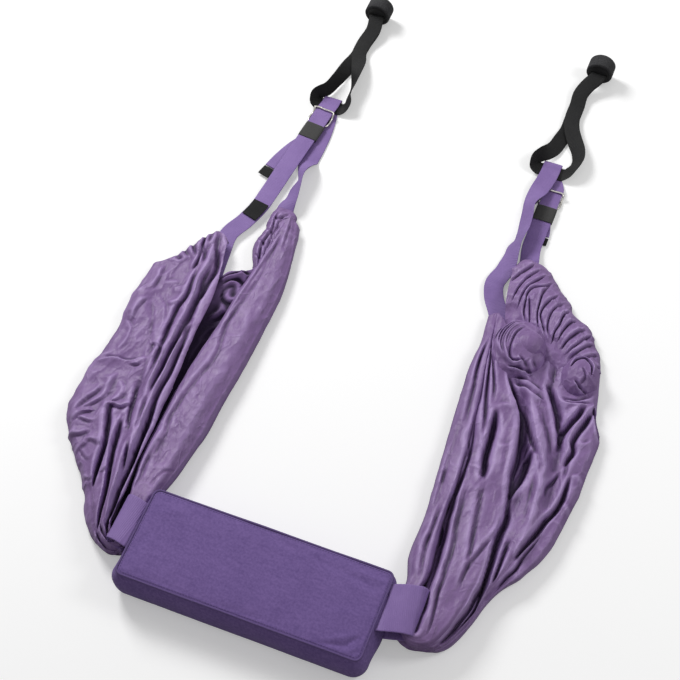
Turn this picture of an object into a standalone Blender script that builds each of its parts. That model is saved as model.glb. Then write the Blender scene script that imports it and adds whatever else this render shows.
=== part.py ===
"""Door stretching strap, laid out on a floor.

A foam pad carries a webbing loop at each end. A fabric sling is threaded through each loop, and each
sling's gathered hem runs on an adjustable strap. The strap hangs from a webbing ring that ends in a
foam door anchor. Everything is in the pad's frame: the origin is the middle of the pad's base, +X runs
along the pad, +Y towards the door anchors and +Z up. The tables below are in millimetres and degrees.
"""

import math

import bpy
import numpy as np

MM = 0.001
GAP = 0.3

# Pad: half sizes at the widest level, height of the seam and of the crown.
PAD_HALF_X = 184.0
PAD_HALF_Y = 76.0
PAD_CORNER = 30.0
PAD_SEAM_Z = 53.0
PAD_CROWN_Z = 57.0
COVER_WALL = 1.6
WELT_RADIUS = 1.6
ZIP_LENGTH = 240.0
ZIP_Z = 26.0
ZIP_SLOT = 9.0

# Webbing widths and thicknesses.
STRAP_WIDTH = 30.0
STRAP_THICK = 1.8
RING_WIDTH = 25.0
RING_THICK = 1.6
BAND_WIDTH = 70.0
BAND_THICK = 2.0
TRIM_THICK = 0.9

# Hinge lines: the slings lift at SLING_FOLD_Y, the straps fold just past each hem, the rings past the
# straps' top folds. SLING_FOLD_X is how far to the side each sling's own line lies.
SLING_FOLD_X = 240.0
SLING_FOLD_Y = 60.0
SLING_FOLD_Z = 50.0
LEFT_STRAP_FOLD_Y = 632.0
RIGHT_STRAP_FOLD_Y = 659.0
STRAP_FOLD_Z = 24.0
LEFT_RING_Y = 864.0
RIGHT_RING_Y = 872.0
RING_FOLD_Z = 28.0

# Pad loops: how far each reaches out from the pad's middle, and the middle of its width.
LEFT_BAND = (213.0, 4.0)
RIGHT_BAND = (222.0, 16.0)

# Zip slider: its middle on the chain, and where its pull hangs.
ZIP_SLIDER_X = ZIP_LENGTH / 2 - 12.0
ZIP_PULL_OUT = 1.6
ZIP_PULL_UP = 1.0

# Wire slider, keeper and door anchor. An anchor's place is the middle of its near face, in x and y.
WIRE_RADIUS = 1.5
KEEPER_WALL = 0.9
LEFT_ANCHOR = (-217.0, 1044.0)
RIGHT_ANCHOR = (174.0, 1053.0)
STOP_THICK = 3.0
CORE_WALL = 2.4
SLIDER_LENGTH = 28.0
SLIDER_HALF_WIDTH = STRAP_WIDTH / 2 + 2.1
ANCHOR_RADIUS = 22.0
ANCHOR_LENGTH = 25.0
ANCHOR_SLOT = (28.0, 6.0)

bodies = {}


def clear_scene():
    for found in list(bpy.data.objects):
        bpy.data.objects.remove(found, do_unlink=True)


def material(name, colour, roughness, metallic=0.0):
    made = bpy.data.materials.new(name)
    made.use_nodes = True
    shader = made.node_tree.nodes["Principled BSDF"]
    shader.inputs["Base Color"].default_value = (*colour, 1.0)
    shader.inputs["Roughness"].default_value = roughness
    shader.inputs["Metallic"].default_value = metallic
    made.diffuse_color = (*colour, 1.0)
    return made


def body(name, pivot=(0.0, 0.0, 0.0), parent=None):
    """An empty on the joint's axis. The pieces that move with the joint are parented to it."""
    empty = bpy.data.objects.new(f"{name}_joint", None)
    bpy.context.scene.collection.objects.link(empty)
    pivot = np.array(pivot, float)
    base = np.zeros(3)
    if parent is not None:
        empty.parent = bodies[parent][0]
        base = bodies[parent][1]
    empty.location = (pivot - base) * MM
    bodies[name] = (empty, pivot)


def add_mesh(name, points, faces, finish, parent, smooth=True):
    """An object from points in millimetres, hung on its body's empty."""
    empty, pivot = bodies[parent]
    mesh = bpy.data.meshes.new(name)
    mesh.from_pydata(((np.asarray(points, float) - pivot) * MM).tolist(), [], faces)
    mesh.materials.append(finish)
    made = bpy.data.objects.new(name, mesh)
    made.parent = empty
    bpy.context.scene.collection.objects.link(made)
    if smooth:
        mesh.shade_smooth()
        mesh.set_sharp_from_angle(angle=math.radians(35))
    return made


def helper(made):
    made.hide_render = True
    made.display_type = "WIRE"
    return made


def boolean(target, other, operation):
    modifier = target.modifiers.new(operation.title(), "BOOLEAN")
    modifier.operation = operation
    modifier.object = helper(other)


def through(stations, count, per=0):
    """A smooth curve through the stations: count values evenly spaced, or per steps between stations."""
    stations = np.asarray(stations, float)
    chords = np.linalg.norm(np.diff(stations[:, :3], axis=0), axis=1)
    along = np.concatenate([[0.0], np.cumsum(chords)])
    slopes = np.gradient(stations, along, axis=0)
    wanted = np.linspace(0.0, along[-1], count)
    if per:
        spans = len(stations) - 1
        wanted = np.interp(np.arange(spans * per + 1) / per, np.arange(spans + 1), along)
    index = np.clip(np.searchsorted(along, wanted, side="right") - 1, 0, len(along) - 2)
    span = (along[index + 1] - along[index])[:, None]
    u = (wanted - along[index])[:, None] / span
    start, end = stations[index], stations[index + 1]
    return (
        (2 * u**3 - 3 * u**2 + 1) * start
        + (u**3 - 2 * u**2 + u) * span * slopes[index]
        + (3 * u**2 - 2 * u**3) * end
        + (u**3 - u**2) * span * slopes[index + 1]
    )


def rings_to_faces(rings, around, closed=False):
    """Quads between rings of points, with an n-gon on each end of an open run."""
    faces = []
    steps = rings if closed else rings - 1
    for i in range(steps):
        j = (i + 1) % rings
        for k in range(around):
            m = (k + 1) % around
            faces.append([i * around + k, i * around + m, j * around + m, j * around + k])
    if not closed:
        faces.append(list(range(around))[::-1])
        faces.append([(rings - 1) * around + k for k in range(around)])
    return faces


def ribbon_points(stations, width, thick, per, ends=(None, None), lift=0.0):
    """Corners of a flat strip. A station is x, y, z of the low edge, heading and lean of its width.

    An end that lies on a hinge line has its corners moved to that level of y. The lift is along the
    strip's own normal, which is its direction crossed with its width.
    """
    path = through(stations, 2, per)
    heading, lean = np.radians(path[:, 3]), np.radians(path[:, 4])
    across = np.stack([np.cos(heading) * np.cos(lean), np.sin(heading) * np.cos(lean), np.sin(lean)], 1)
    centre = path[:, :3].copy()
    centre[:, 2] += np.abs(np.sin(lean)) * width / 2
    tangent = np.gradient(centre, axis=0)
    tangent /= np.linalg.norm(tangent, axis=1)[:, None]
    across -= (across * tangent).sum(1)[:, None] * tangent
    across /= np.linalg.norm(across, axis=1)[:, None]
    normal = np.cross(tangent, across)
    side, up = across * width / 2, normal * thick / 2
    centre += normal * lift
    points = np.stack([centre - side - up, centre + side - up, centre + side + up, centre - side + up], 1)
    points[..., 2] = np.maximum(points[..., 2], GAP)
    for index, level in zip((0, -1), ends):
        if level is not None:
            below = points[..., 1].mean() < level
            limit = np.minimum if below else np.maximum
            points[..., 1] = limit(points[..., 1], level - 0.2 if below else level + 0.2)
            points[index, :, 1] = level
    if None not in ends:
        points[0, :, 1], points[-1, :, 1] = ends
    return points


def ribbon(name, stations, width, thick, finish, parent, per=3, ends=(None, None), lift=0.0):
    points = ribbon_points(stations, width, thick, per, ends, lift)
    return add_mesh(name, points.reshape(-1, 3), rings_to_faces(len(points), 4), finish, parent)


def flat_run(points):
    """Stations of a strip that lies flat: its width is square to the path in plan."""
    points = np.asarray(points, float)
    ahead = np.gradient(points[:, :2], axis=0)
    heading = np.unwrap(np.arctan2(-ahead[:, 0], ahead[:, 1]))
    return np.column_stack([points, np.degrees(heading), np.zeros(len(points))])


def tube(name, path, radius, sides, finish, parent, closed=False):
    """A round wire along a path of points, with its section turned by the least at each step."""
    path = np.asarray(path, float)
    if closed:
        tangent = np.roll(path, -1, axis=0) - np.roll(path, 1, axis=0)
    else:
        tangent = np.gradient(path, axis=0)
    tangent /= np.linalg.norm(tangent, axis=1)[:, None]
    first = np.cross(tangent, [0.13, 0.21, 0.97])
    first /= np.linalg.norm(first, axis=1)[:, None]
    second = np.cross(tangent, first)
    turn = np.arange(sides) * 2 * math.pi / sides
    ring = radius * (
        np.cos(turn)[None, :, None] * first[:, None] + np.sin(turn)[None, :, None] * second[:, None]
    )
    points = (path[:, None] + ring).reshape(-1, 3)
    return add_mesh(name, points, rings_to_faces(len(path), sides, closed), finish, parent)


def box(name, low, high, finish, parent, bevel=0.0):
    x0, y0, z0 = low
    x1, y1, z1 = high
    points = [(x, y, z) for z in (z0, z1) for x, y in ((x0, y0), (x1, y0), (x1, y1), (x0, y1))]
    made = add_mesh(name, points, rings_to_faces(2, 4), finish, parent, smooth=False)
    if bevel:
        rounding = made.modifiers.new("Edges", "BEVEL")
        rounding.width = bevel * MM
        rounding.segments = 2
    return made


def rounded_ring(half_x, half_y, radius, per_corner):
    """Points round a rectangle with round corners, counter-clockwise from its +X side."""
    points = []
    corners = ((1, 1, 0.0), (-1, 1, 90.0), (-1, -1, 180.0), (1, -1, 270.0))
    for sign_x, sign_y, start in corners:
        centre = np.array([sign_x * (half_x - radius), sign_y * (half_y - radius)])
        for angle in np.radians(start + np.linspace(0.0, 90.0, per_corner)):
            points.append(centre + radius * np.array([math.cos(angle), math.sin(angle)]))
    return np.array(points)


def pad_rings(shrink, per_corner):
    """Level rings up the pad's side and over its crown. Each level is inset, height and corner."""
    levels = (
        (12.0, 0.0, 12.0),
        (5.0, 3.0, 15.0),
        (1.0, 14.0, 20.0),
        (0.0, 27.0, 22.0),
        (3.0, 40.0, 18.0),
        (8.0, 49.5, 12.0),
        (10.5, PAD_SEAM_Z, 9.0),
        (17.0, PAD_SEAM_Z + 1.8, 8.0),
        (40.0, PAD_CROWN_Z, 6.0),
    )
    rings = []
    middle = PAD_CROWN_Z / 2
    for inset, level, corner in levels:
        inset += shrink
        plan = rounded_ring(PAD_HALF_X - inset, PAD_HALF_Y - inset, max(corner - shrink, 4.0), per_corner)
        height = middle + (level - middle) * (middle - shrink) / middle
        rings.append(np.column_stack([plan, np.full(len(plan), height)]))
    return rings


def loft(name, rings, finish, parent):
    around = len(rings[0])
    return add_mesh(name, np.concatenate(rings), rings_to_faces(len(rings), around), finish, parent)


def coons(bottom, top, left, right, rows, columns):
    """A plan grid between four edges: the sum of the two ruled surfaces less the bilinear one."""
    s = np.linspace(0.0, 1.0, rows)[:, None, None]
    t = np.linspace(0.0, 1.0, columns)[None, :, None]
    low, high = through(bottom, columns)[None], through(top, columns)[None]
    west, east = through(left, rows)[:, None], through(right, rows)[:, None]
    corners = (
        (1 - s) * (1 - t) * low[:, :1] + (1 - s) * t * low[:, -1:]
        + s * (1 - t) * high[:, :1] + s * t * high[:, -1:]
    )
    return (1 - s) * low + s * high + (1 - t) * west + t * east - corners


def cloth_solid(name, plan, height, finish, parent):
    """A folded cloth as a closed body: folds above, upright edges, and a flat base on the floor."""
    rows, columns = height.shape
    top = np.concatenate([plan, height[..., None]], axis=2).reshape(-1, 3)
    number = np.arange(rows * columns).reshape(rows, columns)
    faces = []
    for i in range(rows - 1):
        for j in range(columns - 1):
            faces.append([number[i, j], number[i, j + 1], number[i + 1, j + 1], number[i + 1, j]])
    edge = np.concatenate([number[0, :-1], number[:-1, -1], number[-1, :0:-1], number[:0:-1, 0]])
    base = top[edge] * [1.0, 1.0, 0.0]
    first = len(top)
    count = len(edge)
    for k in range(count):
        m = (k + 1) % count
        faces.append([edge[k], first + k, first + m, edge[m]])
    faces.append([first + k for k in range(count)][::-1])
    faces = [[int(v) for v in face] for face in faces]
    return add_mesh(name, np.concatenate([top, base]), faces, finish, parent)


def ridges(t, count, phase):
    """Rounded folds across a cloth: count ridges with narrow valleys between them, from 0 to 1."""
    return np.sqrt(0.5 + 0.5 * np.cos(2 * math.pi * (count * t + phase)))


def edge_fall(t, reach):
    """0 at both sides of a cloth, rising to 1 within reach of each."""
    near = np.minimum(t, 1 - t) / reach
    return np.sin(np.clip(near, 0.0, 1.0) * math.pi / 2)


def fabric_grid(rows, columns):
    s, t = np.linspace(0, 1, rows)[:, None], np.linspace(0, 1, columns)[None]
    return s + 0 * t, t + 0 * s


def build_pad():
    cover = loft("pad_cover", pad_rings(0.0, 8), canvas, "pad")
    inner = pad_rings(COVER_WALL, 6)
    boolean(cover, loft("pad_cover_hollow", inner, canvas, "pad"), "DIFFERENCE")
    back = PAD_HALF_Y
    slot = box(
        "zip_slot",
        (-ZIP_LENGTH / 2, back - 14, ZIP_Z - ZIP_SLOT / 2),
        (ZIP_LENGTH / 2, back + 10, ZIP_Z + ZIP_SLOT / 2),
        canvas,
        "pad",
    )
    boolean(cover, slot, "DIFFERENCE")
    core = loft("pad_foam", pad_rings(COVER_WALL + 0.5, 6), foam, "pad")
    low, high = (-ZIP_LENGTH / 2 - 2, back - 4.5, ZIP_Z - 7), (ZIP_LENGTH / 2 + 2, back, ZIP_Z + 7)
    boolean(core, box("foam_notch", low, high, foam, "pad"), "DIFFERENCE")
    build_zip(back)
    plan = rounded_ring(PAD_HALF_X - 9.4, PAD_HALF_Y - 9.4, 10.0, 7)
    path = np.column_stack([plan, np.full(len(plan), PAD_SEAM_Z + 1.9)])
    tube("pad_top_welt", path, WELT_RADIUS, 6, canvas_dark, "pad", closed=True)


def build_zip(back):
    """Two tapes and a chain in the slot of the cover's back side, with a slider and its pull."""
    half = ZIP_LENGTH / 2 - GAP
    edge = ZIP_SLOT / 2 - GAP
    for name, low, high in (("upper", 1.4, edge), ("lower", -edge, -1.4)):
        tape_low, tape_high = (-half, back - 3.2, ZIP_Z + low), (half, back - 2.2, ZIP_Z + high)
        box(f"zip_{name}_tape", tape_low, tape_high, canvas_dark, "pad")
    box("zip_chain", (-half, back - 3.6, ZIP_Z - 1.1), (half, back - 1.8, ZIP_Z + 1.1), plastic, "pad", 0.3)
    x = ZIP_SLIDER_X
    box("zip_slider", (x - 5, back - 1.5, ZIP_Z - 3.6),
    (x + 5, back + 1.3, ZIP_Z + 3.6), nickel, "zip_slider", 0.5)
    out, top = back + ZIP_PULL_OUT, ZIP_Z + ZIP_PULL_UP
    box("zip_pull", (x - 2.5, out, top - 23), (x + 2.5, out + 1.3, top), nickel, "zip_pull", 0.4)


def band_run(reach):
    """The loop's path in the X-Z plane beside the pad, from its top seam out, round and back to its side."""
    return (
        (178.0, 50.0), (190.0, 52.8), (reach - 14, 52.2), (reach - 5, 48.5),
        (reach, 41.5), (reach - 2.5, 34.0), (reach - 11, 30.0), (reach - 22, 29.0), (186.4, 29.0),
    )


def band_points(sign, reach, y_middle, width, thick, count):
    path = through([(x, 0.0, z) for x, z in band_run(reach)], count)
    tangent = np.gradient(path, axis=0)
    tangent /= np.linalg.norm(tangent, axis=1)[:, None]
    out = np.cross(tangent, [0.0, 1.0, 0.0]) * thick / 2
    side = np.array([0.0, width / 2, 0.0])
    points = np.stack([path - side - out, path + side - out, path + side + out, path - side + out], 1)
    points[..., 0] *= sign
    points[..., 1] += y_middle
    return points[:, ::-1] if sign < 0 else points


def build_band(side, sign, reach, y_middle):
    count = 22
    points = band_points(sign, reach, y_middle, BAND_WIDTH, BAND_THICK, count)
    faces = rings_to_faces(count, 4)
    add_mesh(f"{side}_pad_loop", points.reshape(-1, 3), faces, webbing, "pad")


def cut_band(target, sign, reach, y_middle):
    """Clears the loop's own space, and the air under its lower leg, from the cloth threaded through it."""
    points = band_points(1, reach, 0.0, 0.0, BAND_THICK + 1.4, 22)
    inner, outer = points[:, 0, [0, 2]], points[:, 2, [0, 2]]
    turned = int(np.argmin(np.abs(outer[:, 0] - (reach - 12)) + 100 * (outer[:, 1] > 40)))
    drop = outer[turned, 0]
    below = [(drop, -4.0), (174.0, -4.0), (174.0, inner[-1, 1])]
    profile = np.concatenate([outer[: turned + 1], below, inner[::-1]])
    half = BAND_WIDTH / 2 + 0.7
    count = len(profile)
    x, z = sign * profile[:, 0], profile[:, 1]
    rings = [np.column_stack([x, np.full(count, y_middle + y), z]) for y in (-half, half)]
    faces = rings_to_faces(2, count)
    if sign < 0:
        faces = [face[::-1] for face in faces]
    cutter = add_mesh(f"{target.name}_band_space", np.concatenate(rings), faces, webbing, "pad")
    boolean(target, cutter, "DIFFERENCE")


def build_left_sling():
    fold = SLING_FOLD_Y + GAP / 2
    rows, columns = 22, 27
    s, t = fabric_grid(rows, columns)
    plan = coons(
        [(-297, fold), (-262, fold), (-226, fold)],
        [(-352, 446), (-334, 470), (-312, 505), (-287, 546), (-272, 536), (-256, 516)],
        [(-297, fold), (-322, 92), (-351, 130), (-368, 168), (-364, 285), (-357, 379), (-352, 446)],
        [(-226, fold), (-222, 130), (-226, 200), (-232, 290), (-239, 390), (-248, 465), (-256, 516)],
        rows, columns,
    )
    lift = 44 - 30 * s**0.6 + 8 * np.sin(math.pi * s)
    folds = 13 * ridges(t, 6.0, 0.1 - 0.35 * s) * (1 - 0.45 * s) + 3 * ridges(t + 0.15 * s, 11, 0.3) * s
    height = 10 + (lift * 0.62 + folds - 6) * edge_fall(t, 0.16)
    sling = cloth_solid("left_sling", plan, height, satin, "left_sling")

    rows, columns = 20, 9
    s, t = fabric_grid(rows, columns)
    plan = coons(
        [(-232, fold), (-210, fold), (-190, fold)],
        [(-224, 586), (-214, 606), (-203, 616), (-190, 596)],
        [(-232, fold), (-218, 130), (-216, 185), (-211, 243), (-204, 373), (-207, 470), (-222, 530),
         (-224, 586)],
        [(-190, fold), (-180, 96), (-176, 122), (-167, 193), (-164, 241), (-159, 364), (-160, 494),
         (-190, 596)],
        rows, columns,
    )
    height = 11 + (33 * (1 - s) ** 1.5 + 9 + 5 * np.sin(math.pi * s)) * edge_fall(t, 0.3)
    panel = cloth_solid("left_sling_inner_panel", plan, height, satin, "left_sling")

    rows, columns = 10, 7
    s, t = fabric_grid(rows, columns)
    plan = coons(
        [(-250, 180), (-225, 180), (-200, 180)],
        [(-262, 440), (-243, 458), (-222, 464), (-196, 474)],
        [(-250, 180), (-256, 300), (-262, 440)],
        [(-200, 180), (-190, 300), (-196, 474)],
        rows, columns,
    )
    height = 11.5 + 9 * s**4 * ridges(t, 2.5, 0.2)
    back = cloth_solid("left_sling_back_layer", plan, height, satin, "left_sling")
    boolean(sling, panel, "UNION")
    boolean(sling, back, "UNION")
    return sling


def build_right_sling():
    fold = SLING_FOLD_Y + GAP / 2
    rows, columns = 27, 33
    s, t = fabric_grid(rows, columns)
    plan = coons(
        [(189, fold), (236, fold), (288, fold)],
        [(149, 540), (161, 590), (180, 652), (224, 629), (254, 603), (298, 558), (318, 546), (345, 487)],
        [(189, fold), (181, 98), (172, 184), (157, 320), (154, 426), (156, 488), (149, 540)],
        [(288, fold), (303, 104), (350, 195), (368, 249), (375, 318), (368, 395), (350, 448), (345, 487)],
        rows, columns,
    )
    long_folds = 12 * ridges(t, 6.5, 0.25 + 0.2 * s) * (1 - 0.35 * s)
    lift = 38 * (1 - s) ** 1.2 + 16 + 8 * np.sin(math.pi * s)
    groove = np.exp(-(((s - (0.84 - 0.1 * np.sin(math.pi * t))) / 0.035) ** 2))
    ruffle = np.clip((s - 0.84) / 0.06, 0, 1) * (6 + 6 * ridges(t, 11, 0.0))
    height = 10 + (lift * 0.62 + long_folds * (1 - groove) + ruffle - 12 * groove) * edge_fall(t, 0.13)
    height -= np.clip((s - 0.93) / 0.07, 0, 1) * (height - 12) * 0.7
    return cloth_solid("right_sling", plan, np.maximum(height, 9.5), satin, "right_sling")


def build_loop_end(side, sign, outer, front, reach, y_middle):
    """The stretch of sling in the pad loop: from its outer edge, which bends round the loop, to its front."""
    fold = SLING_FOLD_Y - GAP / 2
    rows, columns = 12, 15
    s, t = fabric_grid(rows, columns)
    inner_x = front[-1][0]
    edge = [(outer[0][0], fold)] + outer[1:]
    plan = coons(
        front,
        [(edge[0][0], fold), ((edge[0][0] + inner_x) / 2, fold), (inner_x, fold)],
        edge[::-1],
        [(inner_x, front[-1][1]), (inner_x, 20.0), (inner_x, fold)],
        rows, columns,
    )
    height = 18 + (8 + 20 * s**0.5 - 5 * ridges(t, 4.0, 0.3)) * edge_fall(t, 0.25)
    plan[..., 0] *= sign
    if sign > 0:
        plan, height = plan[:, ::-1], height[:, ::-1]
    made = cloth_solid(f"{side}_sling_loop_end", plan, height, satin, "pad")
    cut_band(made, sign, reach, y_middle)


def cut_tunnel(target, stations, side):
    """Clears the way of the hem webbing through the sling, a little wider and longer than the webbing."""
    points = ribbon_points(stations, STRAP_WIDTH + 1.4, STRAP_THICK + 2.0, 3)
    first = points[0] + (points[0] - points[1]) * 0.4
    last = points[-1] + (points[-1] - points[-2]) * 0.4
    points = np.concatenate([first[None], points, last[None]])
    faces = rings_to_faces(len(points), 4)
    tunnel = add_mesh(f"{side}_hem_tunnel", points.reshape(-1, 3), faces, webbing, f"{side}_sling")
    boolean(target, tunnel, "DIFFERENCE")


def build_side(side, strap, hem, legs, lower, levels, sling):
    """The webbing of one side: the strap, its run in the sling's hem, and the ring that it hangs from.

    levels holds y at the strap's hinge line, at the ring's, and at the anchor's near face.
    """
    edge, ring_edge = levels[0] + GAP / 2, levels[1] + GAP / 2
    ribbon(f"{side}_strap", strap, STRAP_WIDTH, STRAP_THICK, webbing, f"{side}_strap", ends=(edge, edge))
    ends = (edge - GAP, edge - GAP)
    ribbon(f"{side}_hem_webbing", hem, STRAP_WIDTH, STRAP_THICK, webbing, f"{side}_sling", ends=ends)
    cut_tunnel(sling, hem, side)
    ends = (levels[2] - GAP, ring_edge)
    for name, leg in zip(("first", "second"), legs):
        ribbon(f"{side}_ring_{name}_leg", leg, RING_WIDTH, RING_THICK, webbing_black, f"{side}_ring", ends=ends)
    ends = (ring_edge - GAP, ring_edge - GAP)
    ribbon(f"{side}_ring_lower_run", lower, RING_WIDTH, RING_THICK, webbing_black, f"{side}_strap", ends=ends)


def turned_about_z(degrees):
    """The matrix that turns rows of points about +Z when it stands on their right."""
    angle = math.radians(degrees)
    return np.array([(math.cos(angle), math.sin(angle), 0), (-math.sin(angle), math.cos(angle), 0),
    (0, 0, 1)])


def build_slider(side, middle, turn):
    """A bent wire frame with a cross bar. One end bar passes over the strap, the other two under it."""
    half, long = SLIDER_HALF_WIDTH, SLIDER_LENGTH / 2
    lift = STRAP_THICK / 2 + 0.5 + WIRE_RADIUS
    path = np.array([
        (-half + 2, -long, -lift), (half - 2, -long, -lift), (half, -long + 2, -lift),
        (half, long - 9, -lift),
        (half, long - 2, lift), (half - 2, long, lift), (-half + 2, long, lift), (-half, long - 2, lift),
        (-half, long - 9, -lift), (-half, -long + 2, -lift),
    ])
    reach = half - WIRE_RADIUS - GAP
    bar = np.array([(-reach, 0, -lift), (reach, 0, -lift)])
    turned = turned_about_z(turn)
    parent = f"{side}_slider"
    tube(f"{side}_slider_frame", path @ turned + middle, WIRE_RADIUS, 8, nickel, parent, closed=True)
    tube(f"{side}_slider_bar", bar @ turned + middle, WIRE_RADIUS, 8, nickel, parent)


def build_keeper(side, middle, turn, length, layers_high):
    """An elastic band sewn into a flat sleeve round the strap and its tail."""
    half, wall = STRAP_WIDTH / 2 + 0.5, KEEPER_WALL
    points = []
    for y in (-length / 2, length / 2):
        for x_wall, z_wall in ((0.0, 0.0), (wall, wall)):
            x, low, high = half + x_wall, -z_wall, layers_high + z_wall
            points += [(-x, y, low), (x, y, low), (x, y, high), (-x, y, high)]
    faces = []
    for k in range(4):
        m = (k + 1) % 4
        faces += [[k, m, m + 8, k + 8][::-1], [4 + k, 4 + m, 12 + m, 12 + k], [k, m, m + 4, k + 4],
                  [8 + k, 8 + m, 12 + m, 12 + k][::-1]]
    faces = [face[::-1] for face in faces]
    placed = np.array(points) @ turned_about_z(turn) + middle
    add_mesh(f"{side}_keeper", placed, faces, elastic, f"{side}_slider", smooth=False)


def build_trim(name, stations, y_low, y_high, width, lift, finish, parent):
    """A flat patch lying on a strap between two levels of y."""
    dense = through(stations, 400)
    chosen = dense[(dense[:, 1] > y_low) & (dense[:, 1] < y_high)]
    chosen = chosen[np.linspace(0, len(chosen) - 1, 5).astype(int)]
    return ribbon(name, chosen, width, TRIM_THICK, finish, parent, 2, lift=lift)


def cylinder_y(name, centre, radius, length, segments, finish, parent):
    turn = np.arange(segments) * 2 * math.pi / segments
    ring = np.column_stack([radius * np.cos(turn), np.zeros(segments), radius * np.sin(turn)])
    low, high = ring + centre, ring + np.asarray(centre) + [0, length, 0]
    return add_mesh(name, np.concatenate([high, low]), rings_to_faces(2, segments), finish, parent)


def build_anchor(side, x, y):
    """A foam sleeve on a slotted plastic core. The webbing ends are stopped behind a slotted disc."""
    parent = f"{side}_anchor"
    z = ANCHOR_RADIUS
    width, high = ANCHOR_SLOT
    core_radius = width / 2 + CORE_WALL
    deep = ANCHOR_LENGTH
    inside = deep - STOP_THICK - GAP
    sleeve = cylinder_y(f"{side}_anchor_foam", (x, y, z), ANCHOR_RADIUS, deep, 32, foam_dark, parent)
    bore = cylinder_y(f"{side}_anchor_bore", (x, y - 1, z), core_radius + GAP, deep + 2, 28, foam_dark, parent)
    boolean(sleeve, bore, "DIFFERENCE")
    core = cylinder_y(f"{side}_anchor_core", (x, y, z), core_radius, inside, 28, plastic, parent)
    slot_low = (x - width / 2, y - 2, z - high / 2)
    slot_high = (x + width / 2, y + deep + 2, z + high / 2)
    boolean(core, box(f"{side}_core_slot", slot_low, slot_high, plastic, parent), "DIFFERENCE")
    disc = (x, y + deep - STOP_THICK, z)
    cylinder_y(f"{side}_anchor_stop", disc, core_radius, STOP_THICK, 28, plastic, parent)
    for name, level in (("upper", 1.2), ("lower", -1.2)):
        low = (x - RING_WIDTH / 2, y, z + level - RING_THICK / 2)
        top = (x + RING_WIDTH / 2, y + inside, z + level + RING_THICK / 2)
        box(f"{side}_ring_{name}_end", low, top, webbing_black, parent)


clear_scene()
canvas = material("canvas", (0.165, 0.102, 0.305), 0.85)
canvas_dark = material("canvas_welt", (0.12, 0.075, 0.23), 0.85)
webbing = material("purple_webbing", (0.24, 0.14, 0.42), 0.7)
satin = material("satin", (0.22, 0.13, 0.31), 0.42)
webbing_black = material("black_webbing", (0.012, 0.012, 0.013), 0.75)
foam = material("foam", (0.7, 0.68, 0.6), 0.95)
foam_dark = material("foam_dark", (0.05, 0.05, 0.052), 0.9)
plastic = material("plastic", (0.03, 0.03, 0.03), 0.5)
elastic = material("elastic", (0.015, 0.015, 0.016), 0.8)
nickel = material("nickel", (0.7, 0.69, 0.66), 0.25, 1.0)

body("pad")
body("zip_slider", (ZIP_SLIDER_X, PAD_HALF_Y, ZIP_Z), "pad")
body("zip_pull", (ZIP_SLIDER_X, PAD_HALF_Y + ZIP_PULL_OUT, ZIP_Z + ZIP_PULL_UP), "zip_slider")
for side, x, strap_y, ring_y, anchor in (
    ("left", -SLING_FOLD_X, LEFT_STRAP_FOLD_Y, LEFT_RING_Y, LEFT_ANCHOR),
    ("right", SLING_FOLD_X, RIGHT_STRAP_FOLD_Y, RIGHT_RING_Y, RIGHT_ANCHOR),
):
    body(f"{side}_sling", (x, SLING_FOLD_Y, SLING_FOLD_Z), "pad")
    body(f"{side}_strap", (x, strap_y, STRAP_FOLD_Z), f"{side}_sling")
    body(f"{side}_slider", (x, strap_y, 8.0), f"{side}_strap")
    body(f"{side}_ring", (x, ring_y, RING_FOLD_Z), f"{side}_strap")
    body(f"{side}_anchor", (anchor[0], anchor[1], ANCHOR_RADIUS + 3.0), f"{side}_ring")

build_pad()
build_band("left", -1, *LEFT_BAND)
build_band("right", 1, *RIGHT_BAND)
left_outer = [(297, 60), (278, 31), (254, 0), (240, -20)]
left_front = [(240, -20), (222, -38), (203, -42), (189, -30)]
build_loop_end("left", -1, left_outer, left_front, *LEFT_BAND)
right_outer = [(288, 60), (270, 20), (262, -4), (252, -14)]
right_front = [(252, -14), (232, -30), (208, -30), (189, -22)]
build_loop_end("right", 1, right_outer, right_front, *RIGHT_BAND)
left_sling = build_left_sling()
right_sling = build_right_sling()

# Left side. The strap's front run is straight, so that the slider can travel on it.
left_strap = [
    (-246.1, LEFT_STRAP_FOLD_Y, 7.0, -6, 0), (-240.0, 690, 8.0, -6, 0), (-230.4, 780, 8.0, -6, 0),
    (-227.2, 810, 8.0, -6, 0), (-225.6, 825, 8.0, -6, 0), (-225.0, 831, 7.5, -6, 0),
    (-224.0, 841, 5.9, -4, 0), (-223.0, 854, 5.9, 0, 0), (-223.0, 858.2, 3.4, 0, 0),
    (-223.0, 854, 1.25, 0, 0), (-222.0, 838, 1.2, 5, 0), (-217.0, 812, 1.2, 8, 0), (-213.0, 780, 1.2, 3, 0),
    (-212.0, 745, 1.2, 0, 0), (-212.0, 718, 1.4, 0, 4), (-209.0, 698, 1.6, 0, 40),
    (-208.0, 680, 1.6, 0, 66), (-208.5, 655, 1.6, 0, 52), (-207.0, LEFT_STRAP_FOLD_Y, 2.0, 0, 40),
]
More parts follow.
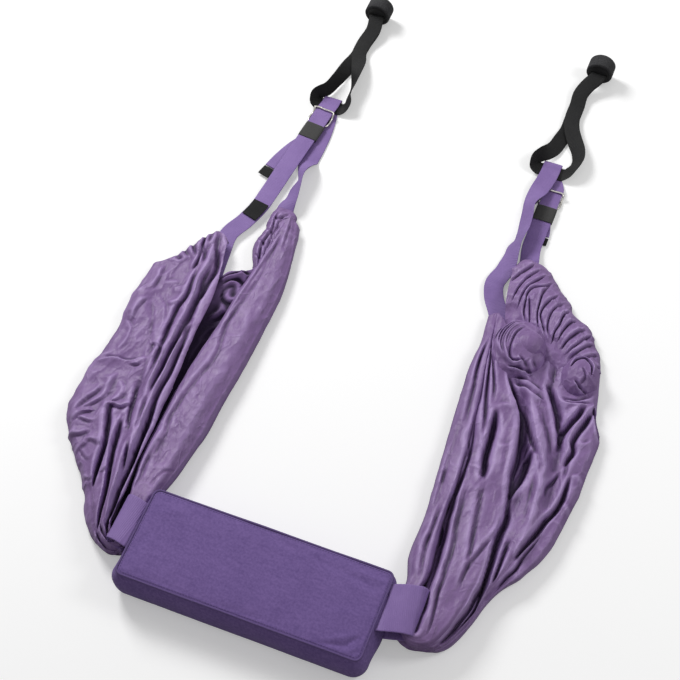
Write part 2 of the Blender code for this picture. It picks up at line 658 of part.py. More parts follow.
left_hem = [
    (-207.0, LEFT_STRAP_FOLD_Y, 2.0, 0, 40), (-209.0, 614, 3.4, 0, 16), (-208.0, 596, 5.0, 0, 3),
    (-200.0, 560, 5.0, 10, 0), (-191.0, 510, 5.0, 6, 0), (-185.0, 440, 5.0, 3, 0), (-183.0, 370, 5.0, 0, 0),
    (-184.0, 318, 5.0, -8, 0), (-194.0, 284, 5.0, -45, 0), (-216.0, 272, 5.0, -90, 0),
    (-238.0, 284, 5.0, -135, 0), (-251.0, 318, 5.0, -172, 0), (-258.0, 370, 5.0, -176, 0),
    (-264.0, 440, 5.0, -176, 0), (-271.0, 500, 5.4, -178, 0), (-273.0, 535, 6.6, -190, 0),
    (-259.0, 570, 7.0, -200, 0), (-249.0, 606, 7.0, -190, 0), (-246.1, LEFT_STRAP_FOLD_Y, 7.0, -186, 0),
]
left_legs = (
    [(-217.0, 1043.7, 20.8, -180, 0), (-213.5, 1019, 13.0, -180, 0), (-219.0, 988, 6.0, -180, 0),
     (-221.0, 964, 3.0, -180, 0), (-224.0, 940, 2.0, -180, 18), (-227.0, 915, 2.0, -180, 42),
     (-231.5, 890, 2.0, -180, 58), (-239.5, LEFT_RING_Y, 2.0, -180, 64)],
    [(-217.0, 1043.7, 23.2, 0, 0), (-213.5, 1019, 15.4, 0, 0), (-219.0, 988, 8.6, 0, 0),
     (-219.0, 966, 7.0, 0, 2), (-212.0, 945, 8.4, 0, 12), (-205.0, 918, 6.2, 0, 40),
     (-200.0, 890, 2.2, 0, 66), (-199.0, LEFT_RING_Y, 2.0, 0, 70)],
)
left_lower = [
    (-239.5, LEFT_RING_Y, 2.0, -180, 64), (-245.5, 857, 2.4, -178, 64), (-251.0, 850, 3.0, -140, 42),
    (-250.5, 844.0, 3.2, -112, 16), (-244.0, 840.6, 3.4, -95, 0), (-233.0, 840.5, 3.4, -90, 0),
    (-213.0, 840.5, 3.4, -90, 0), (-204.0, 840.6, 3.4, -86, 0), (-198.0, 844.0, 3.2, -66, 16),
    (-195.5, 850, 3.0, -38, 44), (-197.8, 857, 2.4, -4, 68), (-199.0, LEFT_RING_Y, 2.0, 0, 70),
]

# Right side. The slider, the keeper and the tail lie under the strap's front run.
right_strap = [
    (151.0, RIGHT_STRAP_FOLD_Y, 2.0, 0, 43), (150.5, 670, 2.0, 0, 48), (152.5, 686, 2.0, 0, 72),
    (152.0, 704, 2.0, 0, 66), (150.0, 728, 2.0, 0, 66), (148.5, 753, 2.6, 0, 52), (150.0, 775, 5.5, 0, 28),
    (154.0, 795, 11.5, 0, 5), (157.0, 815, 11.5, 0, 0), (158.0, 832, 8.0, 0, 0), (158.0, 843, 5.9, 0, 0),
    (158.0, 854, 5.9, 0, 0), (158.0, 858.2, 3.4, 0, 0), (158.0, 854, 1.25, 0, 0), (159.5, 842, 1.2, 8, 0),
    (164.5, 828, 1.2, 12, 0), (171.5, 815, 3.4, 10, 0), (175.0, 806, 5.5, 2, 0), (175.0, 795, 5.5, 0, 0),
    (175.0, 770, 5.5, 0, 0), (175.0, 700, 5.5, 0, 0), (175.0, 692, 5.5, 0, 0), (176.5, 676, 5.2, 4, 3),
    (180.0, RIGHT_STRAP_FOLD_Y, 4.0, 12, 12),
]
right_hem = flat_run([
    (180.0, RIGHT_STRAP_FOLD_Y, 4.0), (184.0, 641, 4.6), (197.0, 618, 5.2), (222.0, 592, 5.2),
    (256.0, 565, 5.2), (286.0, 538, 5.2), (303.0, 508, 5.2), (301.0, 477, 5.2), (280.0, 459, 5.2),
    (248.0, 457, 5.2), (216.0, 472, 5.2), (192.0, 500, 5.2), (176.0, 528, 5.2), (163.0, 552, 5.2),
    (150.0, 574, 5.2), (143.5, 597, 5.0), (150.5, 628, 3.4), (151.0, RIGHT_STRAP_FOLD_Y, 2.0),
])
right_hem[0, 3:] = (-168, -12)
right_hem[-2:, 3:] = ((-358, 14), (-360, 43))
right_legs = (
    [(174.0, 1052.7, 20.8, -180, 0), (173.6, 1047, 19.6, -180, 0), (164.5, 1032, 14.0, -180, 0),
     (157.0, 1012, 8.0, -180, 0), (158.0, 988, 4.0, -180, 0), (158.0, 960, 3.0, -180, 0),
     (158.0, 932, 2.0, -180, 4), (154.0, 905, 2.0, -180, 24), (149.5, 886, 2.4, -180, 22),
     (142.5, RIGHT_RING_Y, 2.4, -180, 38)],
    [(174.0, 1052.7, 23.2, 0, 0), (173.6, 1047, 22.0, 0, 0), (164.5, 1032, 16.6, 0, 0),
     (157.0, 1012, 10.8, 0, 0), (158.0, 988, 7.2, 0, 0), (158.5, 960, 6.6, 0, 0), (166.0, 931, 8.2, 0, 6),
     (177.0, 910, 6.6, 0, 16), (189.0, 890, 2.2, 0, 36), (193.5, RIGHT_RING_Y, 2.0, 0, 44)],
)
right_lower = [
    (142.5, RIGHT_RING_Y, 2.4, -180, 38), (135.5, 862.5, 2.6, -176, 54), (129.5, 850.5, 3.0, -142, 42),
    (130.0, 844.0, 3.2, -112, 16), (138.0, 840.6, 3.4, -95, 0), (150.0, 840.5, 3.4, -90, 0),
    (168.0, 840.5, 3.4, -90, 0), (177.0, 840.6, 3.4, -86, 0), (184.5, 844.5, 3.2, -66, 16),
    (189.0, 852, 3.0, -38, 36), (192.5, 862, 2.4, -6, 44), (193.5, RIGHT_RING_Y, 2.0, 0, 44),
]

left_levels = (LEFT_STRAP_FOLD_Y, LEFT_RING_Y, LEFT_ANCHOR[1])
build_side("left", left_strap, left_hem, left_legs, left_lower, left_levels, left_sling)
build_slider("left", (-227.2, 811.0, 8.0), -6.1)
build_keeper("left", (-230.4, 776.0, 3.9), -6.1, 32.0, 5.4)
left_tail = [(-229.6, 792, 5.2, -6, 0), (-231.4, 776, 5.2, -7, 0), (-233.4, 757, 5.2, -8, 0),
             (-244.0, 738, 4.2, -14, 0), (-256.0, 707, 4.0, -15, 0), (-262.0, 684, 4.0, -16, 0)]
ribbon("left_tail", left_tail, STRAP_WIDTH - 4, STRAP_THICK, webbing, "left_slider")
left_tip = [(-262.6, 681.5, 4.0, -16, 0), (-264.6, 674, 4.0, -16, 0), (-267.0, 665, 4.0, -16, 0)]
ribbon("left_tail_tip", left_tip, STRAP_WIDTH - 4, STRAP_THICK, elastic, "left_slider")
build_trim("left_label", left_hem[-4:], 596, 620, 27.0, 1.65, elastic, "left_sling")
build_anchor("left", *LEFT_ANCHOR)

right_levels = (RIGHT_STRAP_FOLD_Y, RIGHT_RING_Y, RIGHT_ANCHOR[1])
build_side("right", right_strap, right_hem, right_legs, right_lower, right_levels, right_sling)
build_slider("right", (175.0, 786.0, 5.5), 0.0)
build_keeper("right", (175.0, 753.0, 1.4), 0.0, 30.0, 5.9)
right_tail = [(175.0, 767, 2.7, 0, 0), (175.3, 753, 2.7, 0, 0), (176.5, 739, 2.7, 4, 0),
              (180.5, 722, 2.7, 3, 0), (182.0, 712, 2.7, 0, 0)]
ribbon("right_tail", right_tail, STRAP_WIDTH - 4, STRAP_THICK, webbing, "right_slider")
right_tip = [(182.0, 709.6, 2.7, 0, 0), (182.0, 703, 2.7, 0, 0), (182.0, 696, 2.7, 0, 0)]
ribbon("right_tail_tip", right_tip, STRAP_WIDTH - 4, STRAP_THICK, elastic, "right_slider")
build_trim("right_label", right_strap[4:8], 754, 776, 27.0, 1.65, elastic, "right_strap")
build_anchor("right", *RIGHT_ANCHOR)
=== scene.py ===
"""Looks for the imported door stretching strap.

Lengths and places are millimetres in the pad's frame. Materials, lamps and the camera count in metres.
"""

import math

import bmesh
import bpy
import numpy as np
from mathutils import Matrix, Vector


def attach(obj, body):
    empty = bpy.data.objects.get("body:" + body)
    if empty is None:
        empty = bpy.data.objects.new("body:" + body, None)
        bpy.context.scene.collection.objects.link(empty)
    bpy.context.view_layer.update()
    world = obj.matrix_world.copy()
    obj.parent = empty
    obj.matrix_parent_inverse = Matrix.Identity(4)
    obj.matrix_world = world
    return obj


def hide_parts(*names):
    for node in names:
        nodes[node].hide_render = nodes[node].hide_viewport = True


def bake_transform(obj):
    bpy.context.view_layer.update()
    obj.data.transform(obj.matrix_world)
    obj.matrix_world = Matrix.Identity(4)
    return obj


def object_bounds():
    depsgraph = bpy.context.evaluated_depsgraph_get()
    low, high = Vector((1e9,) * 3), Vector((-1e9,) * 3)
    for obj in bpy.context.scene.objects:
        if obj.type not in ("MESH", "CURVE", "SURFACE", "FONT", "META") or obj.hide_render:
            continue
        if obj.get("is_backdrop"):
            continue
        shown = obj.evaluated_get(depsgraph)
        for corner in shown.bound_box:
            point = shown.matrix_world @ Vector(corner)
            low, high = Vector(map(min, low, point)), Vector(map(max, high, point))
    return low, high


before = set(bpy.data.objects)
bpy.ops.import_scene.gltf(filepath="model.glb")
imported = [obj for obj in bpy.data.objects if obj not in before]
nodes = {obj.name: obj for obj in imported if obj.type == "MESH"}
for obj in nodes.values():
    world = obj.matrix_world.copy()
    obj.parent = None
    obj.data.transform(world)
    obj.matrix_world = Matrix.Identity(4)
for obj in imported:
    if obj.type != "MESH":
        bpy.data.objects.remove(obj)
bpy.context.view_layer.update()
MM = 0.001


# The view: a long lens that looks down at 57 degrees, from 21 degrees to the right of the pad's front. It
# looks at the middle of the floor that the strap covers.
turn, tilt = math.radians(21.3), math.radians(57.0)
back = Vector((math.sin(turn) * math.cos(tilt), -math.cos(turn) * math.cos(tilt), math.sin(tilt)))
camera = bpy.data.objects.new("camera", bpy.data.cameras.new("camera"))
camera.data.lens = 84.7
camera.location = Vector((-0.041, 0.419, 0.0)) + back * 2.4
camera.rotation_euler = back.to_track_quat("Z", "Y").to_euler()
bpy.context.scene.collection.objects.link(camera)
bpy.context.scene.camera = camera
bpy.context.scene.view_settings.view_transform = "Standard"


# The studio: a white floor, an even white room and two soft lamps, a strong one to the left above the
# anchors' end and a weak one to the right.
class Wire:
    """A socket of a material's nodes. Arithmetic on wires adds Math nodes, and node() adds any other."""

    def __init__(self, tree, socket=None):
        self.tree = tree
        self.socket = socket

    def node(self, kind, settings, sockets, out=0):
        """One output of a new node that has these settings, and these values or wires on its sockets."""
        made = self.tree.nodes.new("ShaderNode" + kind)
        for key, value in settings.items():
            setattr(made, key, value)
        for key, value in sockets.items():
            if isinstance(value, Wire):
                self.tree.links.new(value.socket, made.inputs[key])
            else:
                made.inputs[key].default_value = value
        return Wire(self.tree, made.outputs[out])

    def maths(self, operation, *values):
        return self.node("Math", {"operation": operation}, dict(enumerate(values)))

    def __add__(self, other):
        return self.maths("ADD", self, other)

    def __mul__(self, other):
        return self.maths("MULTIPLY", self, other)

    __radd__ = __add__
    __rmul__ = __mul__

    def sine(self):
        return self.maths("SINE", self)

    def ribs(self, pitch):
        """A sine of this number, with one wave in each pitch metres."""
        return (self * (math.tau / pitch)).sine()

    def clamped(self):
        return self.node("Clamp", {}, {0: self, 1: 0.0, 2: 1.0})

    def between(self, low, high):
        """0 at low, 1 at high, straight between and held outside."""
        return self.node("MapRange", {}, {0: self, 1: low, 2: high})

    def spread(self):
        """Noise stretched from its usual 0.3 to 0.7, to fill 0 to 1."""
        return self.between(0.3, 0.7)

    def mix(self, first, second):
        """The first colour where this wire is 0 and the second where it is 1."""
        return self.node("Mix", {"data_type": "RGBA"}, {0: self, 6: first, 7: second}, 2)

    def axis(self, number):
        """The x, y or z of this place, for 0, 1 or 2."""
        return self.node("SeparateXYZ", {}, {0: self}, number)

    def stretched(self, stretch):
        return self.node("Mapping", {}, {0: self, 3: stretch})

    def noise(self, size, detail=3.0, stretch=(1.0, 1.0, 1.0)):
        """At this place, cloudy noise between about 0.3 and 0.7 with clouds of about size metres."""
        sockets = {"Vector": self.stretched(stretch), "Scale": 1.0 / size, "Detail": detail}
        return self.node("TexNoise", {}, sockets)

    def cells(self, size, stretch):
        """Bowls of size metres with sharp ridges between: the squared distance to the nearest middle."""
        far = self.node("TexVoronoi", {}, {"Vector": self.stretched(stretch), "Scale": 1.0 / size})
        return far * far

    def creases(self, size, wide, stretch):
        """1 on a net of straight lines about size metres apart, and 0 from wide times that size away."""
        sockets = {"Vector": self.stretched(stretch), "Scale": 1.0 / size}
        return self.node("TexVoronoi", {"feature": "DISTANCE_TO_EDGE"}, sockets).between(wide, 0.0)


def paint(red, green, blue):
    """A display colour from 0 to 255 as the linear colour that a shader takes."""
    shares = [value / 255 for value in (red, green, blue)]
    linear = [s / 12.92 if s <= 0.04045 else ((s + 0.055) / 1.055) ** 2.4 for s in shares]
    return (*linear, 1.0)


def start_finish(name, **constants):
    """A material with its shader's constant sockets set, and the place on the object as a wire."""
    made = bpy.data.materials.new(name)
    made.use_nodes = True
    shader = made.node_tree.nodes["Principled BSDF"]
    for key, value in constants.items():
        shader.inputs[key.replace("_", " ")].default_value = value
    return made, Wire(made.node_tree).node("TexCoord", {}, {}, "Object")


def end_finish(made, colour, roughness=None, height=None, depth=0.0, strength=1.0):
    """Links the colour, the roughness and a bump of the given depth."""
    shader = made.node_tree.nodes["Principled BSDF"]
    links = {"Base Color": colour, "Roughness": roughness}
    if height is not None:
        sockets = {"Strength": strength, "Distance": depth, "Height": height}
        links["Normal"] = height.node("Bump", {}, sockets)
    for key, value in links.items():
        if value is not None:
            made.node_tree.links.new(value.socket, shader.inputs[key])


def refinish(node_name, finish):
    """Gives a CAD node that stays in view a better finish."""
    nodes[node_name].data.materials.clear()
    nodes[node_name].data.materials.append(finish)


def add_piece(name, mesh, finish, smooth=True):
    made = bpy.data.objects.new(name, mesh)
    bpy.context.scene.collection.objects.link(made)
    mesh.materials.append(finish)
    if smooth:
        mesh.shade_smooth()
    return made


# To the camera the floor is nearly white. To all other rays it is grey, so that it lights the object less.
WHITE = (1.0, 1.0, 1.0, 1.0)
white_floor = bpy.data.materials.new("white_floor")
white_floor.use_nodes = True
floor_tree = white_floor.node_tree
floor_tree.nodes.remove(floor_tree.nodes["Principled BSDF"])
seen = Wire(floor_tree).node("LightPath", {}, {}, "Is Camera Ray")
matt = seen.node("BsdfDiffuse", {}, {"Color": seen.mix((0.35, 0.35, 0.35, 1.0), (0.86, 0.86, 0.86, 1.0))})
lifted = seen.node("Emission", {}, {"Color": WHITE, "Strength": seen * 0.3})
both = seen.node("AddShader", {}, {0: matt, 1: lifted})
floor_tree.links.new(both.socket, floor_tree.nodes["Material Output"].inputs["Surface"])
floor_mesh = bpy.data.meshes.new("floor")
floor_corners = [(x, y, -0.0006) for x, y in ((-4, -4), (4, -4), (4, 4), (-4, 4))]
floor_mesh.from_pydata(floor_corners, [], [(0, 1, 2, 3)])
add_piece("floor", floor_mesh, white_floor, smooth=False)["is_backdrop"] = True

world = bpy.data.worlds.new("room")
world.use_nodes = True
bpy.context.scene.world = world
room = world.node_tree.nodes["Background"]
start = Wire(world.node_tree)
rays = [start.node("LightPath", {}, {}, f"Is {kind} Ray") for kind in ("Camera", "Glossy", "Transmission")]
white_share = (rays[0] + rays[1] * 0.6 + rays[2]).clamped()
room.inputs["Color"].default_value = WHITE
world.node_tree.links.new((white_share * 0.72 + 0.28).socket, room.inputs["Strength"])

lamps = (("key", 0.9, 54.0, (-1.8, 1.7, 1.8)), ("fill", 0.8, 13.0, (1.7, 1.1, 1.8)))
for lamp_name, size, power, place in lamps:
    lamp = bpy.data.objects.new(lamp_name, bpy.data.lights.new(lamp_name, "AREA"))
    lamp.data.size = size
    lamp.data.energy = power
    lamp.location = place
    lamp.rotation_euler = (Vector(place) - Vector((-0.04, 0.45, 0.0))).to_track_quat("Z", "Y").to_euler()
    bpy.context.scene.collection.objects.link(lamp)


# The pad: a foam block in a canvas cover, with a piped seam round its top. The cover is sewn from a top
# and side pieces. It creases a little at the ends, where the loops pull on it.
def run_lengths(points):
    """How far along a path each of its points lies, from 0 at the first."""
    return np.concatenate([[0.0], np.cumsum(np.linalg.norm(np.diff(points, axis=0), axis=1))])


def through(stations, per):
    """A smooth curve through the stations, with per steps between each two.

    Each span is a cubic whose slopes at its ends are those of the stations on both sides.
    """
    stations = np.asarray(stations, float)
    along = run_lengths(stations[:, :3])
    slopes = np.gradient(stations, along, axis=0)
    spans = len(stations) - 1
    wanted = np.interp(np.arange(spans * per + 1) / per, np.arange(spans + 1), along)
    index = np.clip(np.searchsorted(along, wanted, side="right") - 1, 0, spans - 1)
    span = (along[index + 1] - along[index])[:, None]
    u = (wanted - along[index])[:, None] / span
    return (
        (2 * u**3 - 3 * u**2 + 1) * stations[index]
        + (u**3 - 2 * u**2 + u) * span * slopes[index]
        + (3 * u**2 - 2 * u**3) * stations[index + 1]
        + (u**3 - u**2) * span * slopes[index + 1]
    )


def sheet_mesh(name, grids, wrap=()):
    """A mesh of quads between the rows and columns of each grid of points.

    wrap holds the grids' numbers whose last column joins the first.
    """
    points, faces, first = [], [], 0
    for order, grid in enumerate(grids):
        rows, columns = grid.shape[:2]
        number = first + np.arange(rows * columns).reshape(rows, columns)
        if order in wrap:
            number = np.concatenate([number, number[:, :1]], axis=1)
        corners = (number[:-1, :-1], number[:-1, 1:], number[1:, 1:], number[1:, :-1])
        faces.append(np.stack(corners, axis=-1).reshape(-1, 4))
        points.append(grid.reshape(-1, 3))
        first += rows * columns
    mesh = bpy.data.meshes.new(name)
    mesh.from_pydata((np.concatenate(points) * MM).tolist(), [], np.concatenate(faces).tolist())
    return mesh


def merge_poles(mesh, within=0.02):
    """Joins the points of a pole or a seam, and drops the faces that closed up."""
    shape = bmesh.new()
    shape.from_mesh(mesh)
    bmesh.ops.remove_doubles(shape, verts=shape.verts, dist=within * MM)
    bmesh.ops.recalc_face_normals(shape, faces=shape.faces)
    shape.to_mesh(mesh)
    shape.free()


def waves(points, seed, count, size):
    """Smooth random waviness: a sum of count plane waves whose lengths lie round size, about -1 to 1."""
    rng = np.random.default_rng(seed)
    total = np.zeros(points.shape[:-1])
    for _ in range(count):
        direction = rng.normal(size=3)
        direction *= math.tau / (size * rng.uniform(0.7, 1.6) * np.linalg.norm(direction))
        total += np.sin(points @ direction + rng.uniform(0, math.tau))
    return total / math.sqrt(count)


def pad_level(inset, level, corner, per_corner=14, per_side=(56, 26)):
    """One level ring of the pad: a rectangle with round corners, inset from the widest level."""
    half_x, half_y = 184.0 - inset, 76.0 - inset
    corner = min(corner, half_y)
    inner_x, inner_y = half_x - corner, half_y - corner
    signs = ((1, 1), (-1, 1), (-1, -1), (1, -1))
    ends = ((-inner_x, half_y), (-half_x, -inner_y), (inner_x, -half_y), (half_x, inner_y))
    points = []
    for quarter, (sign, end) in enumerate(zip(signs, ends)):
        angle = np.radians(90.0 * quarter + np.linspace(0.0, 90.0, per_corner))
        centre = np.array([sign[0] * inner_x, sign[1] * inner_y])
        arc = centre + corner * np.column_stack([np.cos(angle), np.sin(angle)])
        step = np.linspace(0.0, 1.0, per_side[quarter % 2] + 2)[1:-1, None]
        points += [arc, arc[-1] * (1 - step) + np.array(end) * step]
    plan = np.concatenate(points)
    return np.column_stack([plan, np.full(len(plan), level)])


# Each level is its inset, its height and its corners' radius.
side_levels = through([
    (30.0, 0.6, 8.0), (14.0, 0.5, 12.0), (5.5, 3.0, 17.0), (1.0, 13.0, 21.0), (0.0, 26.0, 22.0),
    (2.6, 39.0, 18.0), (6.8, 48.5, 13.0), (9.0, 52.6, 9.0),
], 7)
top_levels = through([
    (9.6, 53.4, 9.0), (12.0, 54.6, 8.0), (18.0, 55.6, 7.0), (30.0, 56.6, 6.0), (50.0, 57.2, 6.0),
    (74.5, 57.4, 3.0),
], 8)
all_levels = ((75.9, 0.6, 1.0), *side_levels, *top_levels, (75.9, 57.4, 1.0))
cover = np.stack([pad_level(*level) for level in all_levels])

# The sides belly out and dent, and the top is a little wavy. Both fade out at the seam between them.
height = cover[..., 2].copy()
dent = waves(cover, 3, 14, 95.0) * 0.9 + waves(cover, 4, 10, 38.0) * 0.35
dent = np.where((height < 52.5) & (height > 3), dent, 0.0) * np.clip((height - 4) / 12, 0, 1)
dent *= 0.6 + np.sin(math.pi * np.clip((height - 3) / 47, 0, 1))
outward = cover * [1.0, 1.0, 0.0] / np.linalg.norm(cover[..., :2] / [1.6, 1.0], axis=-1, keepdims=True)
cover += outward * dent[..., None]
top_share = np.clip((height - 54.0) / 2.0, 0, 1)
plan = cover * [1, 1, 0]
cover[..., 2] += top_share * (waves(plan, 5, 12, 120.0) * 0.55 + waves(plan, 6, 10, 45.0) * 0.18)


def pressed_lines(points, strokes):
    """Sum of creases. A stroke is two ends in plan, width and height. It fades to both its ends."""
    total = np.zeros(points.shape[:-1])
    for x0, y0, x1, y1, width, high in strokes:
        run = np.array([x1 - x0, y1 - y0], float)
        length = np.linalg.norm(run)
        run /= length
        rel = points[..., :2] - [x0, y0]
        ahead = (rel @ run) / length
        aside = rel[..., 0] * run[1] - rel[..., 1] * run[0]
        fade = np.clip(1 - (2 * ahead - 1) ** 2, 0, 1)
        total += high * fade * np.exp(-np.abs(aside / width) ** 1.5)
    return total


pad_creases = [
    (112, -64, 160, -50, 2.6, -2.0), (120, -56, 166, -32, 3.0, 1.6), (138, -66, 170, -28, 2.4, -2.0),
    (150, -68, 173, -43, 2.5, 1.4), (120, 44, 168, 32, 4.0, -1.9), (128, 52, 170, 47, 3.0, 1.4),
    (60, 47, 150, 40, 5.0, -0.9), (-168, -40, -150, 20, 5.0, -0.9), (-165, 30, -120, 52, 5.0, 0.8),
    (-150, -58, -60, -61, 4.0, -0.7), (-40, 58, 60, 50, 6.0, -0.6), (100, -20, 168, -6, 7.0, 0.7),
    (-60, -62, 70, -58, 5.0, -0.7),
]
cover[..., 2] += top_share * pressed_lines(cover, pad_creases)
canvas_mesh = sheet_mesh("pad_cover_canvas", [cover], wrap=(0,))
merge_poles(canvas_mesh, within=0.3)
canvas, place = start_finish("violet_canvas", Roughness=0.88, Sheen_Weight=0.12, Specular_IOR_Level=0.25)
threads = [place.axis(number).ribs(0.0013) for number in range(3)]
weave = threads[0] * threads[1] + threads[1] * threads[2] + threads[2] * threads[0]
mottle = place.noise(0.0032, 4.0)
slub = place.noise(0.0045, 2.0, (0.22, 1.0, 1.0))
tone = mottle.between(0.34, 0.66) * 0.55 + place.noise(0.05, 2.0).spread() * 0.2
tone = tone + slub.between(0.32, 0.68) * 0.25 + weave * 0.05
colour = tone.clamped().mix(paint(104, 82, 141), paint(131, 106, 168))
end_finish(canvas, colour, None, weave * 0.35 + mottle + slub * 0.4, 0.0005, 0.2)
cover_piece = add_piece("pad_cover_canvas", canvas_mesh, canvas)
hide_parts("pad_cover")
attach(cover_piece, "pad")


# The piping: a cord in a folded strip of the same canvas, sewn in the seam between the pad's top and its
# sides. It stands proud of the seam and wavers a little.
def unit(vectors):
    """The vectors divided by their lengths."""
    return vectors / np.maximum(np.linalg.norm(vectors, axis=-1, keepdims=True), 1e-9)


def tube_grid(path, radius, sides, closed=False):
    """Rings round a path. Each is a circle square to the path, and starts from the level direction."""
    path = np.asarray(path, float)
    if closed:
        tangent = unit(np.roll(path, -1, axis=0) - np.roll(path, 1, axis=0))
    else:
        tangent = unit(np.gradient(path, axis=0))
    first = unit(np.cross(tangent, [0.0, 0.0, 1.0]))
    second = np.cross(first, tangent)
    angle = np.arange(sides)[None, :, None] * math.tau / sides
    ring = np.cos(angle) * first[:, None] + np.sin(angle) * second[:, None]
    grid = path[:, None] + np.reshape(radius, (-1, 1, 1)) * ring
    return np.concatenate([grid, grid[:1]]) if closed else grid


def ring_tube(name, path, radius, sides):
    """A tube mesh round a path that comes back to its start."""
    mesh = sheet_mesh(name, [tube_grid(path, radius, sides, closed=True)], wrap=(0,))
    merge_poles(mesh)
    return mesh


welt_path = pad_level(9.0, 53.6, 9.5, 12, (60, 26))
welt_path[:, 2] += 0.35 * waves(welt_path, 8, 8, 60.0)
welt, place = start_finish("welt_canvas", Roughness=0.9)
twist = place.noise(0.0025, 3.0)
end_finish(welt, twist.mix(paint(84, 66, 112), paint(112, 90, 146)), None, twist, 0.0004, 0.5)
welt_piece = add_piece("pad_piping", ring_tube("pad_piping", welt_path, 1.7, 10), welt)
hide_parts("pad_top_welt")
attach(welt_piece, "pad")


# The stitches beside the piping: one short thread about every 4 mm. Each rises a little in its middle and
# its pointed ends sink in the canvas.
seam = pad_level(12.6, 54.95, 7.5, 12, (90, 40))
seam = np.concatenate([seam, seam[:1]])
along_seam = run_lengths(seam)
stitch_count = int(along_seam[-1] // 4.0)
middles = (np.arange(stitch_count) + 0.5) * along_seam[-1] / stitch_count
half_thread = 1.35
along_thread = np.linspace(-half_thread, half_thread, 5)
wanted = middles[:, None] + along_thread
thread_paths = np.stack([np.interp(wanted, along_seam, seam[:, k]) for k in range(3)], axis=-1)
thread_paths[..., 2] += 0.2 * np.cos(along_thread / half_thread * math.pi / 2)
thread_grids = [tube_grid(path, (0.05, 0.3, 0.34, 0.3, 0.05), 5) for path in thread_paths]
thread_mesh = sheet_mesh("pad_stitching", thread_grids, wrap=range(len(thread_grids)))
sewing, place = start_finish("sewing_thread", Roughness=0.7)
end_finish(sewing, place.noise(0.002).mix(paint(92, 72, 124), paint(120, 98, 156)))
stitch_piece = add_piece("pad_stitching", thread_mesh, sewing)
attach(stitch_piece, "pad")


# The foam block, and the zip in the cover's back side: woven tapes, a moulded chain, and a plated slider
# and pull. They are the CAD model's own pieces with better finishes.
foam_core, place = start_finish("pale_foam", Roughness=0.95)
cells = place.noise(0.0015, 4.0)
end_finish(foam_core, cells.mix(paint(214, 208, 190), paint(236, 231, 216)), None, cells, 0.0006, 0.6)
zip_tape, place = start_finish("zip_tape", Roughness=0.85)
colour = place.noise(0.004).mix(paint(78, 60, 106), paint(98, 78, 130))
end_finish(zip_tape, colour, None, place.axis(0).ribs(0.0011), 0.0002, 0.5)
chain, place = start_finish("zip_chain", Roughness=0.4)
teeth = place.axis(0).ribs(0.0014)
colour = teeth.between(-1.0, 1.0).mix(paint(36, 28, 50), paint(74, 58, 100))
end_finish(chain, colour, None, teeth, 0.0004, 1.0)
nickel, place = start_finish("plated_nickel", Metallic=1.0, Roughness=0.25)
worn = place.noise(0.004, 5.0)
colour = worn.between(0.35, 0.65).mix(paint(196, 192, 186), paint(226, 223, 216))
end_finish(nickel, colour, worn.spread() * 0.18 + 0.16, worn, 0.0001, 0.2)
kept_nodes = {"pad_foam": foam_core, "zip_upper_tape": zip_tape, "zip_lower_tape": zip_tape,
              "zip_chain": chain, "zip_slider": nickel, "zip_pull": nickel}
for node_name, finish in kept_nodes.items():
    refinish(node_name, finish)


# The pad's two loops: 70 mm webbing sewn in the seam at each end. It runs out over the sling and comes back
# under it. The right one pulls further out and to the back.
def webbing_finish(name, low, high, rib, sheen=0.15, shine=0.35):
    """Ribbed webbing in the piece's own strip coordinates: u across from the middle, v along."""
    made, place = start_finish(name, Roughness=0.6, Sheen_Weight=sheen, Specular_IOR_Level=shine)
    strip = place.node("UVMap", {"uv_map": "strip"}, {})
    warp = strip.axis(0).ribs(0.0016)
    weft = (strip.axis(1) * (math.tau / rib) + warp * 0.9).sine()
    fine = place.noise(0.0015, 3.0).spread()
    tone = place.noise(0.03, 2.0).spread() * 0.5 + fine * 0.3 + weft * 0.08 + 0.1
    end_finish(made, tone.clamped().mix(low, high), fine * 0.15 + 0.5, weft + warp * 0.3, 0.0003, 0.5)
    return made


def blunt(values, power):
    """The values with their signs, raised to a power below 1: it makes a circle's outline squarer."""
    return np.sign(values) * np.abs(values) ** power


def strip_mesh(name, centre, across, normal, width, thick, sides=26):
    """A flat strip along a path. Its section is a blunt circle drawn out to the width and the thickness.

    The UV map named strip holds each point's place across and along.
    """
    angle = (np.arange(sides) + 0.5) * math.tau / sides
    side = blunt(np.cos(angle), 0.75) * width / 2
    up = blunt(np.sin(angle), 0.35) * thick / 2
    grid = centre[:, None] + across[:, None] * side[:, None] + normal[:, None] * up[:, None]
    ends = [np.broadcast_to(grid[k].mean(axis=0), grid[:1].shape) for k in (0, -1)]
    grid = np.concatenate([ends[0], grid, ends[1]])
    length = run_lengths(centre)
    length = np.concatenate([length[:1], length, length[-1:]])
    mesh = sheet_mesh(name, [grid], wrap=(0,))
    corner = np.empty(len(mesh.loops), np.int32)
    mesh.loops.foreach_get("vertex_index", corner)
    pairs = np.column_stack([np.tile(side, len(grid)), np.repeat(length, sides)])[corner] * MM
    mesh.uv_layers.new(name="strip").data.foreach_set("uv", pairs.astype(np.float32).ravel())
    merge_poles(mesh)
    return mesh


purple_webbing = webbing_finish("violet_webbing", paint(126, 98, 162), paint(148, 120, 184), 0.0026)
